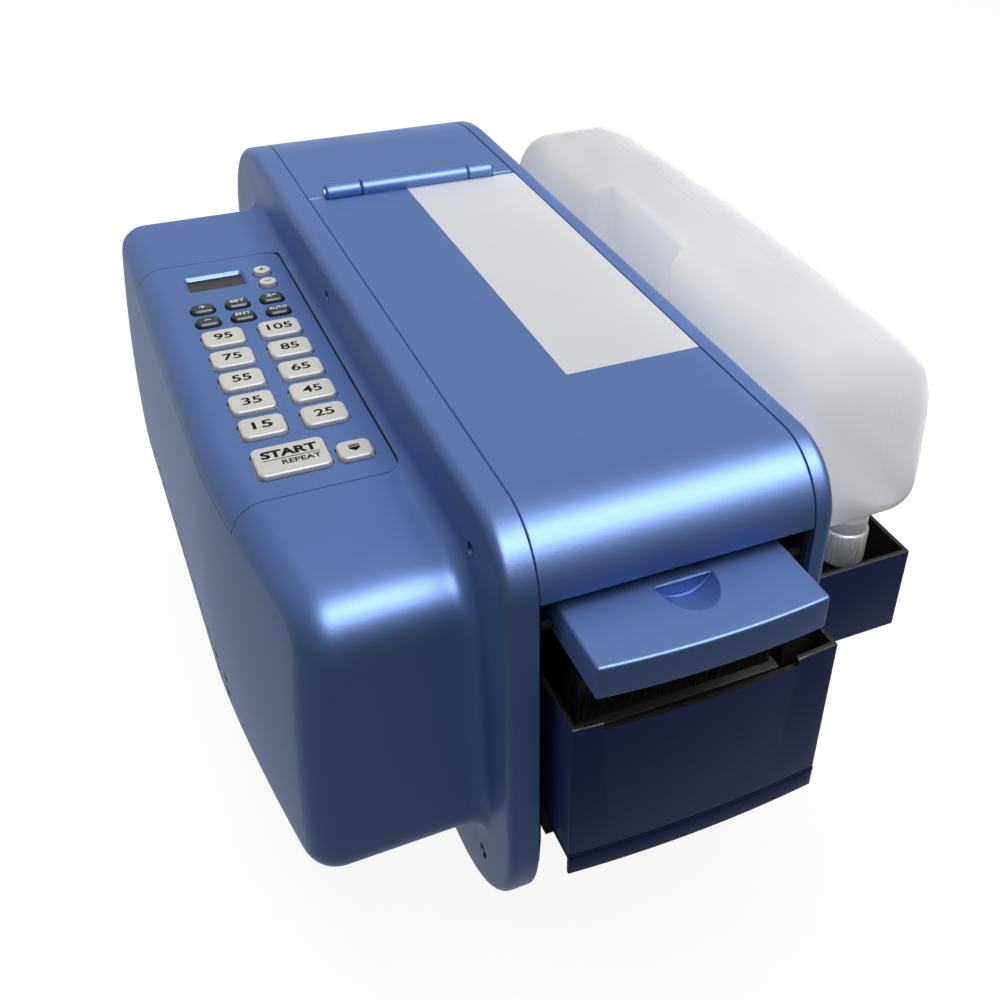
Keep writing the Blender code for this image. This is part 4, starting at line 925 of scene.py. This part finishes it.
def buildBrush():
    low, high = nodeBox("wetting_brush")
    holderTop = tank["top"] - 11
    floor = low.z
    leg = 5
    under = holderTop - 10
    corners = [(low.x, floor), (low.x + leg, floor), (low.x + leg, under), (high.x - leg, under)]
    corners += [(high.x - leg, floor), (high.x, floor), (high.x, holderTop), (low.x, holderTop)]
    holder = softenEdges(plateShape("y", (-10, 12), corners), 0.6, 2)
    addPiece("brushHolder", holder, "liner", "brush_tank", ["wetting_brush"], "black_plastic")
    chance = random.Random(7)
    tuft = bmesh.new()
    bmesh.ops.create_cone(tuft, segments=5, radius1=brush["radius"], radius2=0.16, depth=1, cap_ends=True)
    mesh = bpy.data.meshes.new("tuft")
    tuft.to_mesh(mesh)
    tuft.free()
    field = bmesh.new()
    left, right = low.x + 2, high.x - 2
    for row in range(brush["rows"]):
        for column in range(brush["across"]):
            share = (column + 0.5 * (row % 2)) / brush["across"]
            x = left + (right - left) * share + chance.uniform(-0.3, 0.3)
            y = -5.0 + 12.5 * row / (brush["rows"] - 1) + chance.uniform(-0.3, 0.3)
            tall = high.z - brush["low"] - chance.uniform(0.0, 3.0)
            first = len(field.verts)
            field.from_mesh(mesh)
            field.verts.ensure_lookup_table()
            fresh = field.verts[first:]
            bmesh.ops.scale(field, verts=fresh, vec=(1, 1, tall))
            for vert in fresh:
                share = max(vert.co.z / tall + 0.5, 0.0)
                vert.co.y -= brush["lean"] * share ** 1.5
                vert.co.x += chance.uniform(-0.15, 0.15) + share * 1.2
            bmesh.ops.translate(field, verts=fresh, vec=(x - 0.6, y, brush["low"] + tall / 2))
    bpy.data.meshes.remove(mesh)
    addPiece("brushBristles", field, "bristle", "brush_tank", ["wetting_brush"], turned=False)


def buildReservoir():
    low, high = nodeBox("side_reservoir")
    wall = tank["wall"]
    body = slabShape("z", (low.z, high.z), (low.x, low.y), (high.x, high.y), 1.2, 4)
    softenEdges(body, 0.7, 2, 50)
    innerLow, innerHigh = (low.x + wall, low.y + wall), (high.x - wall, high.y - wall)
    hollow = tagFaces(slabShape("z", (low.z + wall, high.z + 5), innerLow, innerHigh, 1), 1)
    hole = rodShape("x", (low.x - 5, low.x + wall + 2), (spout["y"], spout["z"]), spout["radius"] + 0.3)
    body = cutShape(body, hollow, hole)
    tagFaces(body, 1, lambda face: face.calc_center_median().z > high.z - 0.3)
    addPiece("sideReservoir", body, ("tank_navy", "liner"), "machine", ["side_reservoir"], smooth=30)
    left, right = (corner.x for corner in nodeBox("water_spout"))
    profile = ringProfile(left, right, spout["bore"], spout["radius"])
    tube = spinShape("x", (spout["y"], spout["z"]), profile, 40, 0.4)
    addPiece("waterSpout", tube, "black_plastic", "machine", ["water_spout"])


buildTank()
buildPan()
buildBrush()
buildReservoir()
print("tank, pan, brush and reservoir built")


bottle = {
    "innerX": 139, "outerX": 219, "front": 28, "rear": 370, "low": 195, "high": 283,
    "lean": 7, "taper": (8, 12), "nose": {"inner": 10, "side": 18, "top": 26, "bottom": 12},
    "tail": {"inner": 4, "side": 26, "top": 42, "bottom": 16},
    "section": (24, 12, 10, 12), "recess": {"front": 165, "rear": 255, "depth": 11, "floor": 26},
    "neck": {"x": 180, "y": 45, "radius": 9.3, "length": 24}, "voxel": 1.9,
}
bottleCap = {"radius": 10.6, "rib": 0.6, "ribs": 36, "base": 165, "collar": 184, "top": 192}


def bottleRing(y):
    front, rear = bottle["front"], bottle["rear"]
    nose = min(max(1 - (y - front) / 100, 0.0), 1.0)
    tail = min(max((y - 200) / (rear - 200), 0.0), 1.0)
    outer = bottle["outerX"] - bottle["taper"][0] * nose ** 1.5 - bottle["taper"][1] * tail ** 2
    sink = {}
    for side, radius in bottle["nose"].items():
        sink[side] = max(fall(y - front, radius), fall(rear - y, bottle["tail"][side]))
    low = (bottle["innerX"] + sink["inner"], bottle["low"] + sink["bottom"])
    high = (outer - sink["side"], bottle["high"] - sink["top"])
    limit = 0.45 * min(high[0] - low[0], high[1] - low[1])
    points = []
    for x, z in ringPoints(low, high, [min(radius, limit) for radius in bottle["section"]], 8, (6, 6)):
        height = (z - bottle["low"]) / (bottle["high"] - bottle["low"])
        lean = bottle["lean"] * height ** 2 * min(max((x - bottle["innerX"] - 30) / 30, 0.0), 1.0)
        points.append((x - lean, y, z))
    return points


def buildBottle():
    front, rear = bottle["front"], bottle["rear"]
    starts = [bottle["nose"]["top"] * (1 - math.cos(math.radians(9 * step))) for step in range(11)]
    ends = [bottle["tail"]["top"] * (1 - math.cos(math.radians(7.5 * step))) for step in range(13)]
    stations = [front + start for start in starts] + [65 + 15 * step for step in range(18)]
    stations += [rear - end for end in reversed(ends)]
    body = bridgeRings([bottleRing(y) for y in sorted(stations)])
    recess = bottle["recess"]
    hand = boxShape((bottle["innerX"] - 20, recess["front"], bottle["low"] + recess["floor"]),
                    (bottle["innerX"] + recess["depth"], recess["rear"], bottle["high"] + 20), 7.0, 4)
    body = cutShape(body, hand)
    neck = bottle["neck"]
    centre = (neck["x"], neck["y"])
    ends = (bottle["low"] - neck["length"], bottle["low"] + 4)
    body = combineShapes(body, rodShape("z", ends, centre, neck["radius"], 40), "UNION")
    obj = addPiece("waterBottle", body, "milky_plastic", "water_bottle", ["water_bottle"], smooth=180)
    remesh = obj.modifiers.new("soften", "REMESH")
    remesh.mode = "VOXEL"
    remesh.voxel_size = bottle["voxel"] * millimetre
    remesh.use_smooth_shade = True
    smooth = obj.modifiers.new("melt", "SMOOTH")
    smooth.factor = 0.5
    smooth.iterations = 7
    applyModifiers(obj)


def buildCap():
    centre = (bottle["neck"]["x"], bottle["neck"]["y"])
    base, collar, top = bottleCap["base"], bottleCap["collar"], bottleCap["top"]
    radius, bore = bottleCap["radius"], bottle["neck"]["radius"] + 0.3
    profile = [(base, 3), (base, radius - 1), (base + 1, radius), (collar, radius)]
    profile += [(collar + 0.8, radius - 0.6), (top - 1, radius - 0.6), (top, radius - 0.9)]
    profile += [(top, bore), (base + 3, bore), (base + 3, 3), (base, 3)]
    shapes = [spinShape("z", centre, profile, 72)]
    for rib in range(bottleCap["ribs"]):
        turn = math.tau * rib / bottleCap["ribs"]
        outer = radius + bottleCap["rib"]
        bar = boxShape((radius - 0.5, -0.42, base + 1.4), (outer, 0.42, collar - 0.2), 0.25, 2)
        bmesh.ops.rotate(bar, verts=bar.verts, cent=(0, 0, 0), matrix=Matrix.Rotation(turn, 3, "Z"))
        shapes.append(moved(bar, centre[0], centre[1], 0))
    addPiece("bottleCap", addShapes(*shapes), "cap_white", "bottle_cap", ["bottle_cap"], smooth=35)


buildBottle()
buildCap()
print("bottle built")


def buildRoll():
    low, high = nodeBox("tape_roll")
    centre = ((low.y + high.y) / 2, (low.z + high.z) / 2)
    radius = (high.z - low.z) / 2 - 0.05
    core = 16
    paper = spinShape("x", centre, ringProfile(low.x, high.x, core + 2.5, radius), 128, 0.5)
    addPiece("tapeRoll", paper, "kraft_paper", "tape_roll", ["tape_roll"])
    tube = spinShape("x", centre, ringProfile(low.x + 0.3, high.x - 0.3, core, core + 2.5), 64, 0.2)
    addPiece("rollCore", tube, "card", "tape_roll", slot="kraft_paper")


def buildRoller(piece, node, look, drum, radius, stub, groove):
    low, high = nodeBox(node)
    centre = ((low.y + high.y) / 2, (low.z + high.z) / 2)
    profile = [(low.x, 0), (low.x, stub), (drum[0], stub), (drum[0], radius)]
    count = int((drum[1] - drum[0]) / groove) - 1
    for step in range(1, count + 1):
        x = drum[0] + step * (drum[1] - drum[0]) / (count + 1)
        profile += [(x - 0.5, radius), (x - 0.25, radius - 0.5), (x + 0.25, radius - 0.5), (x + 0.5, radius)]
    profile += [(drum[1], radius), (drum[1], stub), (high.x, stub), (high.x, 0)]
    addPiece(piece, spinShape("x", centre, profile, 48), look, node, [node])


def buildFeet():
    for side in ("left", "right"):
        for end in ("front", "rear"):
            node = f"foot_{side}_{end}"
            low, high = nodeBox(node)
            centre = ((low.x + high.x) / 2, (low.y + high.y) / 2)
            radius = (high.x - low.x) / 2 - 0.05
            profile = [(0, 0), (0, radius - 2), (high.z, radius), (high.z, 0)]
            foot = spinShape("z", centre, profile, 48, 0.5)
            addPiece(f"foot.{side}.{end}", foot, "black_rubber", "machine", [node])


def buildHingePin():
    low, high = nodeBox("hinge_pin")
    pin = rodShape("x", (low.x, high.x), (hinge["y"], hinge["z"]), hinge["pin"], 32, 0.6)
    addPiece("hingePin", pin, "steel", "machine", ["hinge_pin"])


inlet = {"x": -60, "z": 120, "flange": (32, 62), "body": (27, 56), "depth": 20, "rise": 15}


def buildInlet():
    rear = housing["rear"]
    x, z = inlet["x"], inlet["z"]
    wide, tall = (value / 2 for value in inlet["flange"])
    deepWide, deepTall = (value / 2 for value in inlet["body"])
    body = slabShape("y", (rear + 0.3, rear + 2.3), (x - wide, z - tall), (x + wide, z + tall), 4)
    softenEdges(body, 0.6, 3, 60, lambda middle: middle.y > rear + 2.2)
    low, high = (x - deepWide, rear - inlet["depth"], z - deepTall), (x + deepWide, rear + 1, z + deepTall)
    body = combineShapes(body, boxShape(low, high), "UNION")
    corners = [(x - 10.5, z - 24), (x + 10.5, z - 24), (x + 10.5, z - 8), (x - 10.5, z - 8)]
    socket = plateShape("y", (rear - 14, rear + 5), corners, [4, 4, 1, 1], 4)
    centreZ = z + inlet["rise"]
    well = boxShape((x - 6.3, rear - 10, centreZ - 9.8), (x + 6.3, rear + 5, centreZ + 9.8))
    addPiece("mainsInlet", cutShape(body, socket, well), "black_plastic", "machine", ["mains_inlet"])
    pins = []
    for across, up in ((-6.5, -18), (6.5, -18), (0, -13.5)):
        low = (x + across - 1, rear - 14.5, z + up - 2.2)
        high = (x + across + 1, rear - 1.5, z + up + 2.2)
        pins.append(boxShape(low, high, 0.4))
    addPiece("inletPins", addShapes(*pins), "pins", "machine", slot="alloy")
    rocker = [(-3, -8), (3.5, -8), (4.8, 0), (7.4, 8), (-3, 8)]
    outline = [(rear - 2.5 + u, centreZ + v) for u, v in rocker]
    switch = softenEdges(plateShape("x", (x - 6, x + 6), outline), 0.5, 3)
    addPiece("powerSwitch", switch, "black_plastic", "power_switch", ["power_switch"])


buildRoll()
for end in ("front", "rear"):
    buildRoller(f"rollRoller.{end}", f"roll_roller_{end}", "roller_grey", (8, 117), 12, 4, 27)
buildRoller("feedRoller", "feed_roller", "black_rubber", (20, 105), 15, 4, 6)
buildRoller("pressureRoller", "pressure_roller", "black_rubber", (20, 105), 12, 4, 14)
buildFeet()
buildHingePin()
buildInlet()
print("roll, rollers and hardware built")


carried = {
    "steel": ("fixed_blade", "moving_blade", "pressure_arm", "power_supply"),
    "black_plastic": ("cutter_solenoid",), "heater_black": ("heater_plate",),
    "display_glass": ("display_window",), "board_green": ("control_board",),
    "motor_grey": ("drive_motor",), "alloy": ("motor_pulley", "feed_pulley"), "black_rubber": ("drive_belt",),
}
for slot, names in carried.items():
    for name in names:
        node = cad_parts[name]
        node.data.materials.clear()
        node.data.materials.append(finishes[slot])
# The side plates and heater-cover pin get the near-black sheet finish as painted shade in the gaps between
# the covers, the flap and the tank.
for name in ("left_side_plate", "right_side_plate", "heater_cover_pin"):
    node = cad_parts[name]
    node.data.materials.clear()
    node.data.materials.append(extraFinishes["blackSheet"])
print("carried-over parts finished")


stageSize = {"floor": 8.0, "colour": (0.14, 0.14, 0.143), "glow": 0.91}
lamps = (  # name, place, aim, size, watts and whether it lights more than gloss
    ("ceiling", (0.05, 0.45, 1.55), (0, 0.10, 0.15), (1.5, 1.5), 20, True),
    ("frontFill", (0.62, -1.16, 1.37), (0, -0.2, 0.24), (1.3, 0.22), 0.3, True),
    ("frontGloss", (0.30, -0.98, 1.50), (0, -0.2, 0.24), (2.2, 0.95), 440, False),
    ("leftFill", (-1.3, 0.1, 0.9), (0, 0, 0.15), (0.5, 1.3), 1.8, True),
)
camera = {
    "place": (-0.1852, -0.5510, 0.5312), "yaw": -0.460395, "pitch": -0.649426, "roll": 0.036695,
    "lens": 42.596, "shift": (-0.0971, 0.0140),
}


def lightPathSum(nodes, links):
    path = nodes.new("ShaderNodeLightPath")
    total = path.outputs["Is Camera Ray"]
    for name in ("Is Glossy Ray", "Is Transmission Ray"):
        total = mathOf(nodes, links, "MAXIMUM", total, path.outputs[name])
    return total


def buildFloor():
    bm = bmesh.new()
    bmesh.ops.create_grid(bm, x_segments=1, y_segments=1, size=stageSize["floor"] / 2)
    mesh = bpy.data.meshes.new("floor")
    bm.to_mesh(mesh)
    bm.free()
    floor = bpy.data.objects.new("floor", mesh)
    bpy.context.scene.collection.objects.link(floor)
    material, nodes, links, shader = newFinish("paleFloor", 0.9, 0.0, 0.1)
    shader.inputs["Base Color"].default_value = (*stageSize["colour"], 1)
    glow = mathOf(nodes, links, "MULTIPLY", lightPathSum(nodes, links), stageSize["glow"])
    shader.inputs["Emission Color"].default_value = (1, 1, 1, 1)
    links.new(glow, shader.inputs["Emission Strength"])
    mesh.materials.append(material)


def buildWorld():
    world = bpy.data.worlds.new("studio")
    world.use_nodes = True
    nodes, links = world.node_tree.nodes, world.node_tree.links
    background = nodes["Background"]
    background.inputs["Color"].default_value = (1, 1, 1, 1)
    strength = nodes.new("ShaderNodeMapRange")
    strength.inputs["To Min"].default_value = 0.05
    strength.inputs["To Max"].default_value = 1.0
    links.new(lightPathSum(nodes, links), strength.inputs["Value"])
    links.new(strength.outputs["Result"], background.inputs["Strength"])
    bpy.context.scene.world = world


def buildLamps():
    for name, spot, aim, size, watts, spread in lamps:
        lamp = bpy.data.lights.new(name, "AREA")
        lamp.shape = "RECTANGLE"
        lamp.size, lamp.size_y = size
        lamp.energy = watts
        obj = bpy.data.objects.new(name, lamp)
        obj.visible_diffuse = spread
        obj.location = spot
        obj.rotation_euler = (Vector(aim) - Vector(spot)).to_track_quat("-Z", "Y").to_euler()
        bpy.context.scene.collection.objects.link(obj)


def buildCamera():
    yaw, pitch, roll = camera["yaw"], camera["pitch"], camera["roll"]
    forward = Vector((-math.sin(yaw) * math.cos(pitch), math.cos(yaw) * math.cos(pitch), math.sin(pitch)))
    level = Vector((math.cos(yaw), math.sin(yaw), 0))
    upright = level.cross(forward)
    right = math.cos(roll) * level + math.sin(roll) * upright
    up = math.cos(roll) * upright - math.sin(roll) * level
    data = bpy.data.cameras.new("camera")
    data.lens = camera["lens"]
    data.sensor_width = 36
    data.shift_x, data.shift_y = camera["shift"]
    data.clip_start, data.clip_end = 0.02, 20
    obj = bpy.data.objects.new("camera", data)
    facing = Matrix((right, up, -forward)).transposed().to_4x4()
    obj.matrix_world = Matrix.Translation(camera["place"]) @ facing
    bpy.context.scene.collection.objects.link(obj)
    bpy.context.scene.camera = obj


buildFloor()
buildWorld()
buildLamps()
buildCamera()
bpy.context.scene.view_settings.view_transform = "Standard"
print("stage, light and camera set")

bpy.context.view_layer.update()
